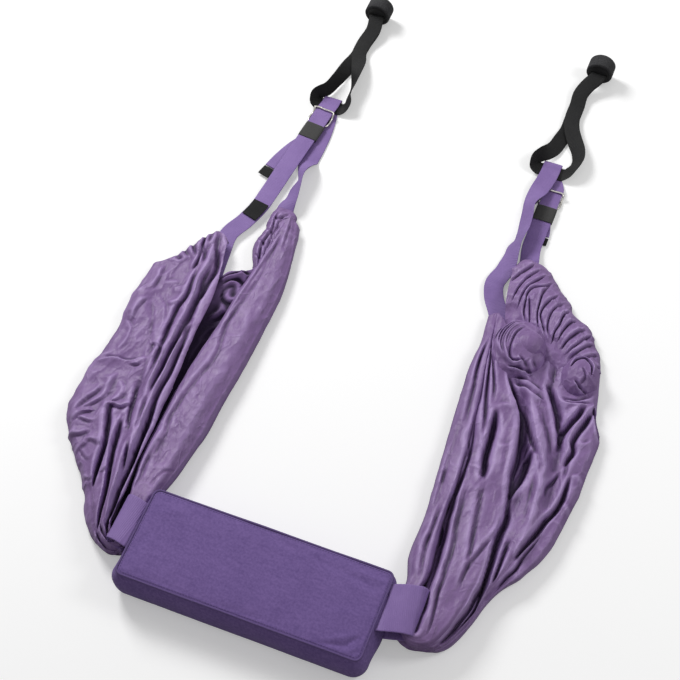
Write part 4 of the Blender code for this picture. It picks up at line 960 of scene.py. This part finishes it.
right_front = (
    ("edge", [(194, 28, 30), (207, 11, 22), (217, 14, 16), (218, 38, 12), (214, 79, 7), (208, 133, 4),
        (204, 197, 4), (200, 255, 6), (197, 322, 8), (185, 388, 10), (172, 456, 11), (164, 537, 12)]),
    ("soft", [(195, 24, 36), (211, 4, 34), (226, 4, 33), (228, 31, 33), (222, 78, 24), (215, 133, 8),
        (209, 198, 6), (205, 255, 9), (200, 321, 12), (188, 387, 14), (175, 455, 15), (166, 537, 15)]),
    ("ridge", [(197, 20, 42), (214, -1, 42), (230, -2, 43), (235, 26, 45), (230, 67, 45),
        (226, 122, 38), (218, 187, 33), (214, 245, 31), (207, 314, 29), (194, 380, 28), (180, 450, 26),
        (169, 538, 18)]),
    ("soft", [(197, 19, 42), (217, -3, 41), (235, -3, 41), (249, 27, 43), (250, 73, 43), (253, 131, 39),
        (246, 197, 35), (241, 261, 32), (231, 322, 31), (212, 386, 30), (191, 449, 28), (177, 532, 20)]),
    ("soft", [(198, 18, 42), (219, -6, 40), (241, -5, 39), (261, 29, 41), (268, 73, 41), (275, 136, 38),
        (272, 204, 34), (266, 275, 31), (258, 333, 30), (234, 388, 29), (208, 445, 26), (188, 521, 20)]),
    ("soft", [(198, 17, 40), (221, -8, 37), (245, -4, 34), (268, 31, 34), (279, 76, 34), (289, 140, 30),
        (289, 211, 22), (284, 288, 12), (274, 348, 9), (253, 399, 12), (225, 446, 18), (204, 491, 20)]),
    ("soft", [(198, 16, 40), (223, -9, 33), (249, -3, 30), (274, 33, 31), (287, 78, 31), (303, 141, 30),
        (317, 208, 31), (313, 284, 32), (292, 346, 31), (269, 392, 28), (245, 441, 22), (225, 495, 18)]),
    ("soft", [(198, 18, 36), (224, -8, 28), (252, -3, 24), (279, 36, 27), (291, 80, 27), (313, 145, 24),
        (333, 216, 20), (329, 294, 17), (315, 365, 14), (297, 409, 12), (276, 446, 15), (253, 507, 16)]),
    ("soft", [(198, 18, 33), (226, -7, 24), (254, -1, 18), (282, 40, 20), (295, 83, 20), (325, 155, 19),
        (347, 229, 21), (346, 303, 23), (340, 368, 24), (329, 410, 22), (310, 443, 18), (286, 505, 16)]),
    ("ridge", [(198, 18, 33), (228, -9, 26), (257, 0, 18), (285, 41, 20), (298, 84, 20), (339, 165, 20),
        (357, 250, 22), (359, 320, 22), (357, 381, 21), (351, 418, 20), (341, 447, 18), (321, 505, 14)]),
    ("edge", [(198, 19, 26), (230, -5, 12), (262, 4, 7), (289, 51, 7), (302, 93, 7), (350, 182, 7),
        (368, 273, 7), (372, 342, 7), (371, 396, 7), (356, 428, 7), (351, 447, 8), (341, 498, 8)]),
    ("edge", [(181, 17, 26), (213, -7, 12), (246, 2, 7), (272, 51, 2), (285, 94, 2), (334, 183, 2),
        (350, 274, 2), (354, 344, 2), (353, 398, 2), (338, 429, 2), (333, 449, 2), (323, 501, 2)]),
)
right_front_folds = (
    (2, 5, 8, (171, 491), (181, 453), (187, 426), (200, 373), (210, 338), (223, 294)),
    (2, 4, 6, (178, 485), (182, 464), (192, 433), (201, 409), (209, 376)),
    (4, 7, 18, (216, 374), (219, 347), (222, 320), (224, 295), (230, 270), (235, 250)),
    (2, 6, 8, (236, 258), (239, 232), (243, 213), (246, 192), (250, 167), (254, 146), (256, 128),
     (257, 108)),
    (2, 5, 8, (210, 261), (216, 226), (220, 201), (223, 176), (228, 150), (231, 125), (231, 107),
     (234, 89), (234, 70), (237, 48), (240, 26), (241, 10), (240, -1)),
    (3, 9, 4, (282, 193), (275, 171), (267, 147), (259, 120), (257, 102), (258, 79)),
    (4, 9, 16, (274, 255), (279, 230), (282, 211), (280, 186), (281, 165), (283, 144), (284, 123),
     (284, 103), (281, 85), (279, 67), (273, 46), (267, 26), (260, 8), (253, -4)),
    (2, 6, 9, (285, 134), (286, 110), (287, 91), (286, 73), (281, 54), (275, 35)),
    (3, 6, 10, (296, 187), (297, 173), (297, 151), (297, 130), (296, 111)),
    (5, 9, 20, (211, 440), (226, 417), (241, 397), (253, 380), (258, 361), (263, 335), (267, 309),
     (269, 279), (275, 254), (279, 231)),
    (5, 6, 18, (279, 242), (286, 272), (289, 293), (290, 313), (289, 335)),
    (5, 4, 9, (314, 290), (309, 306), (300, 322), (283, 348), (268, 376), (248, 400), (233, 416)),
    (2, 5, 4, (292, 302), (283, 316), (280, 332), (282, 347)),
    (3, 5, 6, (313, 206), (312, 238), (308, 273), (305, 300)),
    (2, 6, 6, (262, 415), (274, 395), (287, 375), (301, 352), (312, 325)),
    (4, 6, 15, (269, 451), (290, 419), (300, 401), (307, 383), (316, 358), (319, 342)),
    (5, 5, 16, (332, 431), (327, 411), (321, 396), (315, 377), (316, 357)),
    (5, 6, 14, (347, 439), (345, 424), (340, 402), (335, 383), (333, 364), (338, 350), (334, 333),
     (332, 317)),
    (2, 5, 5, (334, 356), (337, 329), (339, 302)),
    (3, 5, 5, (332, 315), (327, 297), (321, 280), (323, 260)),
    (5, 7, 14, (346, 313), (346, 286), (345, 267), (340, 248), (334, 235), (329, 216), (323, 196),
     (317, 178), (314, 156)),
    (2, 5, 6, (336, 210), (329, 186), (323, 168), (319, 147), (311, 131), (304, 108)),
    (2, 4, 4, (323, 192), (317, 172), (312, 159)),
    (3, 4, 14, (346, 432), (353, 417), (362, 401), (370, 386)),
    (3, 4, 2, (348, 311), (359, 315), (371, 308)),
    (3, 4, 2, (346, 269), (358, 265), (368, 255)),
    (2, 5, 2, (337, 368), (350, 368), (361, 378)),
    (2, 5, 3, (256, 421), (272, 417), (285, 404)),
    (3, 4, 4, (225, 428), (243, 427), (264, 418), (280, 416)),
    (3, 4, 4, (218, 440), (236, 439), (256, 436), (276, 429)),
    (2, 4, 4, (223, 462), (238, 453), (255, 437)),
    (3, 5, 6, (265, 494), (270, 474), (275, 453), (275, 435)),
    (4, 5, 5, (285, 450), (283, 479), (282, 501)),
    (4, 5, 5, (300, 452), (294, 476), (292, 497)),
    (3, 4, 4, (300, 430), (321, 433), (343, 451)),
    (3, 4, 4, (292, 438), (308, 426), (328, 430), (344, 436)),
    (1.5, 6, 2, (244, 366), (246, 328), (254, 293), (260, 255)),
    (1.5, 5, 1, (236, 317), (248, 318), (260, 327)),
    (1.5, 4, 1, (215, 373), (223, 383), (242, 383)),
)
wrap = crinkled(draped(right_front, 32, 1.6), 41, 42.0, 2.4, 2.4, 75.0)
wrap = folded(crinkled(wrap, 44, 14.0, 0.8, 1.8, 75.0), right_front_folds, 1.5)
right_front_cloth = add_cloth("right_sling_front", wrap, "right_sling", 0.24)
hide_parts("right_sling", "right_sling_loop_end")

right_back = (
    ("edge", [(188, 518, 8), (198, 512, 8), (209, 506, 8), (221, 500, 8.2), (236, 494, 8.6),
        (250, 488, 9), (265, 480, 9.4), (280, 472, 9.8), (296, 465, 9.6), (314, 458, 8.8),
        (332, 451, 8)]),
    ("soft", [(180, 533, 20), (188, 532, 20.8), (197, 530, 21.6), (208, 527, 22), (222, 522, 22),
        (236, 517, 22), (252, 511, 22), (267, 505, 22), (286, 495, 21.6), (309, 482, 20.8),
        (331, 468, 20)]),
    ("soft", [(173, 557, 24), (183, 560, 24.8), (193, 562, 25.6), (206, 561, 26.2), (222, 557, 26.6),
        (237, 553, 27), (254, 544, 26.6), (271, 536, 26.2), (291, 522, 25), (313, 502, 23),
        (334, 483, 21)]),
    ("soft", [(168, 584, 24), (179, 589, 25.2), (190, 594, 26.4), (203, 594, 27), (220, 589, 27),
        (237, 584, 27), (256, 572, 26.2), (276, 560, 25.4), (296, 540, 24), (317, 514, 22),
        (337, 489, 20)]),
    ("ridge", [(165, 608, 21), (180, 631, 22), (204, 631, 23), (220, 616, 22), (238, 603, 22),
        (253, 584, 22), (276, 562, 21), (298, 550, 20), (308, 538, 19), (322, 522, 17), (337, 493, 14)]),
    ("edge", [(164, 630, 9), (178, 655, 8), (201, 654, 8), (227, 634, 7), (238, 623, 7), (258, 605, 7),
        (276, 582, 7), (306, 565, 7), (315, 549, 7), (329, 528, 7), (340, 498, 7)]),
)
right_back_folds = (
    (5, 5, 6, (191, 647), (184, 632), (176, 619), (165, 599)),
    (5, 5, 6, (206, 640), (191, 620), (184, 603), (180, 586), (179, 560)),
    (5, 5, 6, (214, 632), (202, 612), (193, 594), (190, 575), (191, 550)),
    (5, 5, 7, (228, 624), (216, 607), (203, 598), (197, 588), (198, 569), (201, 550), (213, 528)),
    (5, 5, 8, (224, 617), (218, 595), (219, 572), (221, 554), (233, 523)),
    (4, 5, 6, (199, 581), (208, 557), (217, 529)),
    (5, 6, 7, (243, 605), (234, 588), (227, 570), (226, 554), (234, 538), (249, 515)),
    (4, 5, 6, (256, 594), (245, 578), (240, 559), (243, 535), (256, 513)),
    (6, 5, 8, (266, 583), (259, 565), (258, 547), (255, 531), (257, 511)),
    (5, 5, 8, (281, 570), (270, 553), (266, 538), (264, 518)),
    (6, 5, 7, (298, 561), (285, 542), (277, 526), (272, 507)),
    (5, 5, 6, (309, 555), (298, 535), (290, 519), (281, 502)),
    (5, 5, 6, (317, 542), (305, 526), (295, 510), (287, 496)),
    (4, 5, 5, (328, 528), (318, 516), (306, 504)),
    (4, 5, 5, (338, 510), (329, 499), (326, 479)),
)
upper = crinkled(crinkled(draped(right_back, 26, 1.4), 51, 22.0, 2.4, 1.3, 20.0), 52, 9.0, 1.0)
upper = folded(upper, right_back_folds, 0.85)
right_back_cloth = add_cloth("right_sling_back", upper, "right_sling", None)


def dome(centre, radii, down_to=100.0, rows=70, columns=110):
    """A rounded bulge of cloth: an ellipsoid from its top down to that many degrees."""
    down = np.linspace(0.0, 1.0, rows)[:, None] * math.radians(down_to)
    turn = np.linspace(0.0, math.tau, columns + 1)[None]
    x = centre[0] + radii[0] * np.sin(down) * np.cos(turn)
    y = centre[1] + radii[1] * np.sin(down) * np.sin(turn)
    z = centre[2] + radii[2] * np.cos(down) + 0 * turn
    return np.stack([x, y, np.maximum(z, LOWEST)], axis=-1)


knob_folds = (
    (4, 2.6, 3.4, (201, 537), (188, 525), (180, 512), (177, 497), (176, 482)),
    (3, 2.6, 3.4, (205, 537), (190, 521), (183, 503), (183, 486), (188, 469)),
    (4.4, 2.6, 3.4, (208, 536), (192, 518), (186, 494), (189, 475), (200, 457)),
    (2.6, 2.6, 3.4, (210, 533), (196, 516), (190, 494), (193, 473), (205, 454)),
    (4, 2.6, 3.4, (213, 531), (199, 514), (194, 493), (198, 472), (211, 451)),
    (3, 2.6, 3.4, (214, 527), (201, 510), (198, 491), (202, 469), (214, 449)),
    (3.6, 2.6, 3.4, (215, 524), (204, 506), (202, 488), (206, 465), (218, 448)),
    (3, 3, 5, (204, 457), (219, 455), (232, 462)),
    (3, 3, 5, (210, 444), (225, 447), (242, 450), (257, 460)),
    (3, 3, 5, (222, 433), (239, 441), (259, 447)),
    (3, 3, 4, (220, 466), (234, 456), (247, 443)),
    (3, 3, 4, (239, 470), (247, 460), (258, 449)),
    (3, 4, 4, (257, 490), (258, 472), (269, 453)),
)
bunch_folds = (
    (4, 5, 8, (332, 473), (327, 493), (312, 504), (301, 496), (295, 477)),
    (3, 3, 4, (307, 457), (322, 448), (336, 450)),
    (2, 4, 3, (312, 480), (320, 468), (315, 452)),
)
knob = folded(crinkled(dome((216, 487, 14), (40.0, 54.0, 27.0)), 61, 14.0, 1.4), knob_folds, 1.7)
smooth = crinkled(dome((228, 495, 22), (25.0, 25.0, 24.0), 80.0), 63, 40.0, 0.5)
bunch = folded(crinkled(dome((314, 476, 14), (28.0, 33.0, 24.0)), 65, 13.0, 1.8), bunch_folds, 1.3)
for name, grid in (("right_sling_knob", knob), ("right_sling_dome", smooth), ("right_sling_bunch", bunch)):
    piece = add_cloth(name, grid, "right_sling", None)
    merge_poles(piece.data)


# The straps: 30 mm webbing that runs in the slings' hems and hangs in the rings. The left one runs through
# its slider and keeper, the right one over them. A station is x, y, z of the lower edge, heading and lean.
def ribbon_frame(stations, width):
    """Centre, across and normal along a strip. It lies level at a lean of 0 and stands on edge at 90."""
    path = through(stations, 8)
    heading, lean = np.radians(path[:, 3]), np.radians(path[:, 4])
    across = np.stack([np.cos(heading) * np.cos(lean), np.sin(heading) * np.cos(lean), np.sin(lean)], 1)
    centre = path[:, :3].copy()
    centre[:, 2] += np.abs(np.sin(lean)) * width / 2
    tangent = unit(np.gradient(centre, axis=0))
    across = unit(across - (across * tangent).sum(1)[:, None] * tangent)
    return centre, across, np.cross(tangent, across)


def add_strip(name, stations, width, thick, finish):
    return add_piece(name, strip_mesh(name, *ribbon_frame(stations, width), width, thick), finish)


def flat_run(points):
    """Stations of a strip that lies flat: its width is square to the path in plan."""
    points = np.asarray(points, float)
    ahead = np.gradient(points[:, :2], axis=0)
    heading = np.unwrap(np.arctan2(-ahead[:, 0], ahead[:, 1]))
    return np.column_stack([points, np.degrees(heading), np.zeros(len(points))])


left_strap = [
    (-246.1, 632, 7.0, -6, 0), (-240.0, 690, 8.0, -6, 0), (-230.4, 780, 8.0, -6, 0),
    (-227.2, 810, 8.0, -6, 0), (-225.6, 825, 8.0, -6, 0), (-225.0, 831, 7.5, -6, 0),
    (-224.0, 841, 5.9, -4, 0), (-223.0, 854, 5.9, 0, 0), (-223.0, 858.2, 3.4, 0, 0),
    (-223.0, 854, 1.25, 0, 0), (-222.0, 838, 1.2, 5, 0), (-217.0, 812, 1.2, 8, 0),
    (-213.0, 780, 1.2, 3, 0), (-212.0, 745, 1.2, 0, 0), (-212.0, 718, 1.4, 0, 4),
    (-209.0, 698, 1.6, 0, 40), (-208.0, 680, 1.6, 0, 66), (-208.5, 655, 1.6, 0, 52),
    (-207.0, 632, 2.0, 0, 40),
]
left_hem_out = [
    (-216.0, 272, 1.8, 90, 0), (-238.0, 284, 1.8, 45, 0), (-251.0, 318, 1.8, 8, 0),
    (-258.0, 370, 1.8, 4, 0), (-264.0, 440, 1.8, 4, 0), (-271.0, 500, 3.4, 2, 0),
    (-273.0, 535, 6.6, -10, 0), (-259.0, 570, 7.0, -20, 0), (-249.0, 606, 7.0, -10, 0),
]
left_hem_back = [
    (-209.0, 614, 2.6, 0, 16), (-208.0, 596, 1.6, 0, 3), (-192.0, 560, 1.8, 10, 0),
    (-179.0, 510, 1.8, 6, 0), (-171.0, 440, 1.8, 3, 0), (-168.0, 370, 1.8, 0, 0),
]
right_strap = [
    (151.0, 659, 2.0, 0, 43), (150.5, 670, 2.0, 0, 46), (153.5, 686, 2.0, 0, 58),
    (154.5, 704, 2.0, 0, 54), (152.0, 728, 2.0, 0, 51), (148.5, 753, 2.6, 0, 52),
    (150.0, 775, 5.5, 0, 28), (154.0, 795, 11.5, 0, 5), (157.0, 815, 11.5, 0, 0),
    (158.0, 832, 8.0, 0, 0), (158.0, 843, 5.9, 0, 0), (158.0, 854, 5.9, 0, 0),
    (158.0, 858.2, 3.4, 0, 0), (158.0, 854, 1.25, 0, 0), (159.5, 842, 1.2, 8, 0),
    (164.5, 828, 1.2, 12, 0), (171.5, 815, 3.4, 10, 0), (175.0, 806, 5.5, 2, 0),
    (175.0, 795, 5.5, 0, 0), (175.0, 770, 5.5, 0, 0), (175.0, 700, 5.5, 0, 0), (175.0, 692, 5.5, 0, 0),
    (176.5, 676, 5.2, 4, 3), (180.0, 659, 4.0, 12, 12),
]
right_hem = flat_run([
    (180.0, 659, 4.0), (184.0, 641, 4.6), (197.0, 618, 5.2), (222.0, 592, 5.2), (256.0, 565, 5.2),
    (286.0, 538, 5.2), (303.0, 508, 5.2), (301.0, 477, 5.2), (280.0, 459, 5.2), (248.0, 457, 5.2),
    (216.0, 472, 5.2), (192.0, 500, 5.2), (176.0, 528, 5.2), (163.0, 552, 5.2), (150.0, 574, 5.2),
    (143.5, 597, 5.0), (150.5, 628, 3.4), (151.0, 659, 2.0),
])
right_hem[-2, 3:] = (-358, 14)


def joined(stations, turn, flip=1):
    """The same stations turned, or turned and flipped over, so that they go on from the next run's."""
    return [(x, y, z, heading + turn, flip * lean) for x, y, z, heading, lean in stations]


left_run = left_hem_out + left_strap + left_hem_back
right_run = joined(right_hem[8:-1], 360) + right_strap + joined(right_hem[1:8], 180, -1)
for side, run, fold in (("left", left_run, 0.632), ("right", right_run, 0.659)):
    strap = add_strip(f"{side}_webbing_strap", run, 30.0, 1.8, purple_webbing)
    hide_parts(f"{side}_strap", f"{side}_hem_webbing")
    before, after = (0.0, fold - 0.018, 0.0), (0.0, fold + 0.018, 0.0)
    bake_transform(strap)


# The left strap's woven label, left bare, and each strap's free tail behind its keeper, with its end bound
# in black tape. The right label is the CAD model's own piece, under the strap.
black_tape = webbing_finish("black_tape", paint(14, 14, 15), paint(30, 30, 31), 0.0022, 0.02, 0.15)
for name, body, finish, width, thick, stations in (
    ("left_label", "left_sling", black_tape, 27.0, 0.9, [
        (-256.5, 577, 9.6, -20, 0), (-251.5, 594, 9.8, -15, 0), (-248.5, 610, 9.6, -9, 0)]),
    ("left_tail", "left_slider", purple_webbing, 26.0, 1.8, [
        (-229.6, 792, 5.2, -6, 0), (-231.4, 776, 5.2, -7, 0), (-233.4, 757, 5.2, -8, 0),
        (-244.0, 738, 4.2, -14, 0),
        (-256.0, 707, 4.0, -15, 0), (-262.0, 684, 4.0, -16, 0)]),
    ("left_tail_tip", "left_slider", black_tape, 26.0, 1.8, [
        (-262.4, 682.5, 4.0, -16, 0), (-264.6, 674, 4.0, -16, 0), (-267.0, 665, 4.0, -16, 0)]),
    ("right_tail", "right_slider", purple_webbing, 26.0, 1.8, [
        (175.0, 767, 2.7, 0, 0), (175.3, 753, 2.7, 0, 0), (176.5, 739, 2.7, 4, 0),
        (180.5, 722, 2.7, 3, 0),
        (182.0, 712, 2.7, 0, 0)]),
    ("right_tail_tip", "right_slider", black_tape, 26.0, 1.8, [
        (182.0, 710.4, 2.7, 0, 0), (182.0, 703, 2.7, 0, 0), (182.0, 696, 2.7, 0, 0)]),
):
    piece = add_strip(f"{name}_strip", stations, width, thick, finish)
    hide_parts(name)
    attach(piece, body)


# The slider: a bent wire frame, plated, with one end raised over the webbing, and a cross bar between its
# sides. The keeper beside it is a flat sleeve of black elastic that holds the tail down.
def placed(points, middle, degrees):
    """The points turned in plan by that many degrees, then moved to the middle."""
    angle = math.radians(degrees)
    spin = [(math.cos(angle), math.sin(angle), 0), (-math.sin(angle), math.cos(angle), 0), (0, 0, 1)]
    return np.asarray(points, float) @ np.array(spin) + middle


half_width, half_length, lift = 17.1, 14.0, 2.9
half_frame = [
    (0, -half_length, -lift), (-half_width + 3, -half_length, -lift),
    (-half_width + 0.8, -half_length + 0.8, -lift), (-half_width, -half_length + 3, -lift),
    (-half_width, half_length - 9, -lift), (-half_width, half_length - 5.5, -lift * 0.3),
    (-half_width, half_length - 3, lift * 0.8), (-half_width + 0.8, half_length - 0.8, lift),
    (-half_width + 3, half_length, lift), (0, half_length, lift),
]
other_half = [(-x, y, z) for x, y, z in half_frame[-2::-1]]
frame_path = through(half_frame + other_half, 6)[:-1]
elastic, place = start_finish("black_elastic", Roughness=0.75, Sheen_Weight=0.2)
cord = place.axis(0).ribs(0.0012)
grain = place.noise(0.002, 3.0)
end_finish(elastic, grain.mix(paint(30, 30, 30), paint(52, 51, 50)), None, cord * 0.5 + grain, 0.0003, 0.6)
refinish("right_label", elastic)
for side, middle, degrees, keeper_middle, length, high in (
    ("left", (-227.2, 811.0, 8.0), -6.1, (-230.4, 776.0, 3.9), 32.0, 5.4),
    ("right", (175.0, 786.0, 5.5), 0.0, (175.0, 753.0, 1.4), 30.0, 5.9),
):
    frame_mesh = ring_tube(f"{side}_wire_slider", placed(frame_path, middle, degrees), 1.5, 14)
    wire_frame = add_piece(f"{side}_wire_slider", frame_mesh, nickel)
    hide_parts(f"{side}_slider_frame")
    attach(wire_frame, f"{side}_slider")
    refinish(f"{side}_slider_bar", nickel)
    half_inside, sides = 15.6, 48
    angle = np.linspace(0, math.tau, sides, endpoint=False)
    across, up = blunt(np.cos(angle), 0.4), blunt(np.sin(angle), 0.6)
    end = length / 2
    half_wall = ((-end, 0.0), (-end, 0.55), (-end + 0.4, 0.9))
    sleeve = []
    for y, wall in (*half_wall, (end - 0.4, 0.9), (end, 0.55), (end, 0.0), (-end, 0.0)):
        x = across * (half_inside + wall)
        z = high / 2 + up * (high / 2 + wall)
        sleeve.append(np.column_stack([x, np.full(sides, y), z]))
    sleeve = placed(np.stack(sleeve), keeper_middle, degrees)
    sleeve_mesh = sheet_mesh(f"{side}_elastic_keeper", [sleeve], wrap=(0,))
    merge_poles(sleeve_mesh)
    keeper = add_piece(f"{side}_elastic_keeper", sleeve_mesh, elastic)
    rounding = keeper.modifiers.new("Smooth", "SUBSURF")
    rounding.levels = rounding.render_levels = 1
    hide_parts(f"{side}_keeper")
    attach(keeper, f"{side}_slider")


# The rings: 25 mm black webbing through each strap's top fold. It twists on edge beside the fold, and its
# two ends go up to the anchor. A ring's stations go down from its anchor, through the fold and up again.
black_webbing = webbing_finish("black_webbing", paint(15, 15, 16), paint(32, 32, 33), 0.0024, 0.02, 0.2)
left_ring = [
    (-217.0, 1043.4, 20.8, -180, 0), (-213.5, 1019, 13.0, -180, 0), (-219.0, 988, 6.0, -180, 0),
    (-221.0, 964, 3.0, -180, 0), (-224.0, 940, 2.0, -180, 18), (-227.0, 915, 2.0, -180, 42),
    (-231.5, 890, 2.0, -180, 58), (-239.5, 864, 2.0, -180, 64), (-245.5, 857, 2.4, -178, 64),
    (-251.0, 850, 3.0, -140, 42), (-250.5, 844.0, 3.2, -112, 16), (-244.0, 840.6, 3.4, -95, 0),
    (-233.0, 840.5, 3.4, -90, 0), (-213.0, 840.5, 3.4, -90, 0), (-204.0, 840.6, 3.4, -86, 0),
    (-198.0, 844.0, 3.2, -66, 16), (-195.5, 850, 3.0, -38, 44), (-197.8, 857, 2.4, -4, 68),
    (-199.0, 864, 2.0, 0, 70), (-200.0, 890, 2.2, 0, 66), (-205.0, 918, 6.2, 0, 40),
    (-212.0, 945, 8.4, 0, 12), (-219.0, 966, 7.0, 0, 2), (-219.0, 988, 8.6, 0, 0),
    (-213.5, 1019, 15.4, 0, 0), (-217.0, 1043.4, 23.2, 0, 0),
]
right_ring = [
    (174.0, 1052.4, 20.8, -180, 0), (173.6, 1047, 19.6, -180, 0), (164.5, 1032, 14.0, -180, 0),
    (157.0, 1012, 8.0, -180, 0), (158.0, 988, 4.0, -180, 0), (158.0, 960, 3.0, -180, 0),
    (158.0, 932, 2.0, -180, 4), (154.0, 905, 2.0, -180, 24), (149.5, 886, 2.4, -180, 22),
    (142.5, 872, 2.4, -180, 38), (135.5, 862.5, 2.6, -176, 54), (129.5, 850.5, 3.0, -142, 42),
    (130.0, 844.0, 3.2, -112, 16), (138.0, 840.6, 3.4, -95, 0), (150.0, 840.5, 3.4, -90, 0),
    (168.0, 840.5, 3.4, -90, 0), (177.0, 840.6, 3.4, -86, 0), (184.5, 844.5, 3.2, -66, 16),
    (189.0, 852, 3.0, -38, 36), (192.5, 862, 2.4, -6, 44), (193.5, 872, 2.0, 0, 44),
    (189.0, 890, 2.2, 0, 36), (177.0, 910, 6.6, 0, 16), (166.0, 931, 8.2, 0, 6),
    (158.5, 960, 6.6, 0, 0), (158.0, 988, 7.2, 0, 0), (157.0, 1012, 10.8, 0, 0),
    (164.5, 1032, 16.6, 0, 0), (173.6, 1047, 22.0, 0, 0), (174.0, 1052.4, 23.2, 0, 0),
]
for side, run, fold in (("left", left_ring, 0.864), ("right", right_ring, 0.872)):
    ring = add_strip(f"{side}_webbing_ring", run, 25.0, 1.6, black_webbing)
    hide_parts(f"{side}_ring_first_leg", f"{side}_ring_lower_run", f"{side}_ring_second_leg")
    before, after = (0.0, fold - 0.01, 0.0), (0.0, fold + 0.014, 0.0)
    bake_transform(ring)


# The door anchors: a dark foam sleeve on a slotted plastic core. The ring's ends go through the slot and
# are stopped behind it by a plastic disc.
dark_foam, place = start_finish("dark_foam", Roughness=0.92, Specular_IOR_Level=0.3)
pores = place.noise(0.0022, 5.0)
tone = (pores * 0.7 + place.noise(0.02, 2.0) * 0.3).between(0.35, 0.65)
end_finish(dark_foam, tone.mix(paint(44, 44, 46), paint(68, 68, 70)), None, pores, 0.0009, 0.8)
plastic, place = start_finish("black_plastic", Roughness=0.45)
grain = place.noise(0.0012, 3.0)
end_finish(plastic, grain.mix(paint(28, 28, 29), paint(40, 40, 41)), None, grain, 0.0002, 0.4)
# The sleeve's wall, as its radius and how far along the sleeve it lies.
wall = np.array([
    (16.8, 24.5), (17.3, 25.0), (19.6, 25.0), (21.0, 24.6), (21.8, 23.6), (22.0, 22.0), (22.0, 12.0),
    (22.0, 3.0), (21.8, 1.4), (21.0, 0.4), (19.6, 0.0), (17.3, 0.0), (16.8, 0.5), (16.8, 24.5),
])
axis_height = 22.0
for side, x, y in (("left", -217.0, 1044.0), ("right", 174.0, 1053.0)):
    spin = np.linspace(0, math.tau, 72, endpoint=False)
    turned = (x + wall[:, :1] * np.cos(spin), y + wall[:, 1:] + 0 * spin,
              axis_height + wall[:, :1] * np.sin(spin))
    anchor_mesh = sheet_mesh(f"{side}_foam_sleeve", [np.stack(turned, axis=-1)], wrap=(0,))
    merge_poles(anchor_mesh)
    foam_sleeve = add_piece(f"{side}_foam_sleeve", anchor_mesh, dark_foam)
    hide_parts(f"{side}_anchor_foam")
    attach(foam_sleeve, f"{side}_anchor")
    for part in ("anchor_core", "anchor_stop", "ring_upper_end", "ring_lower_end"):
        refinish(f"{side}_{part}", plastic)

low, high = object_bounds()
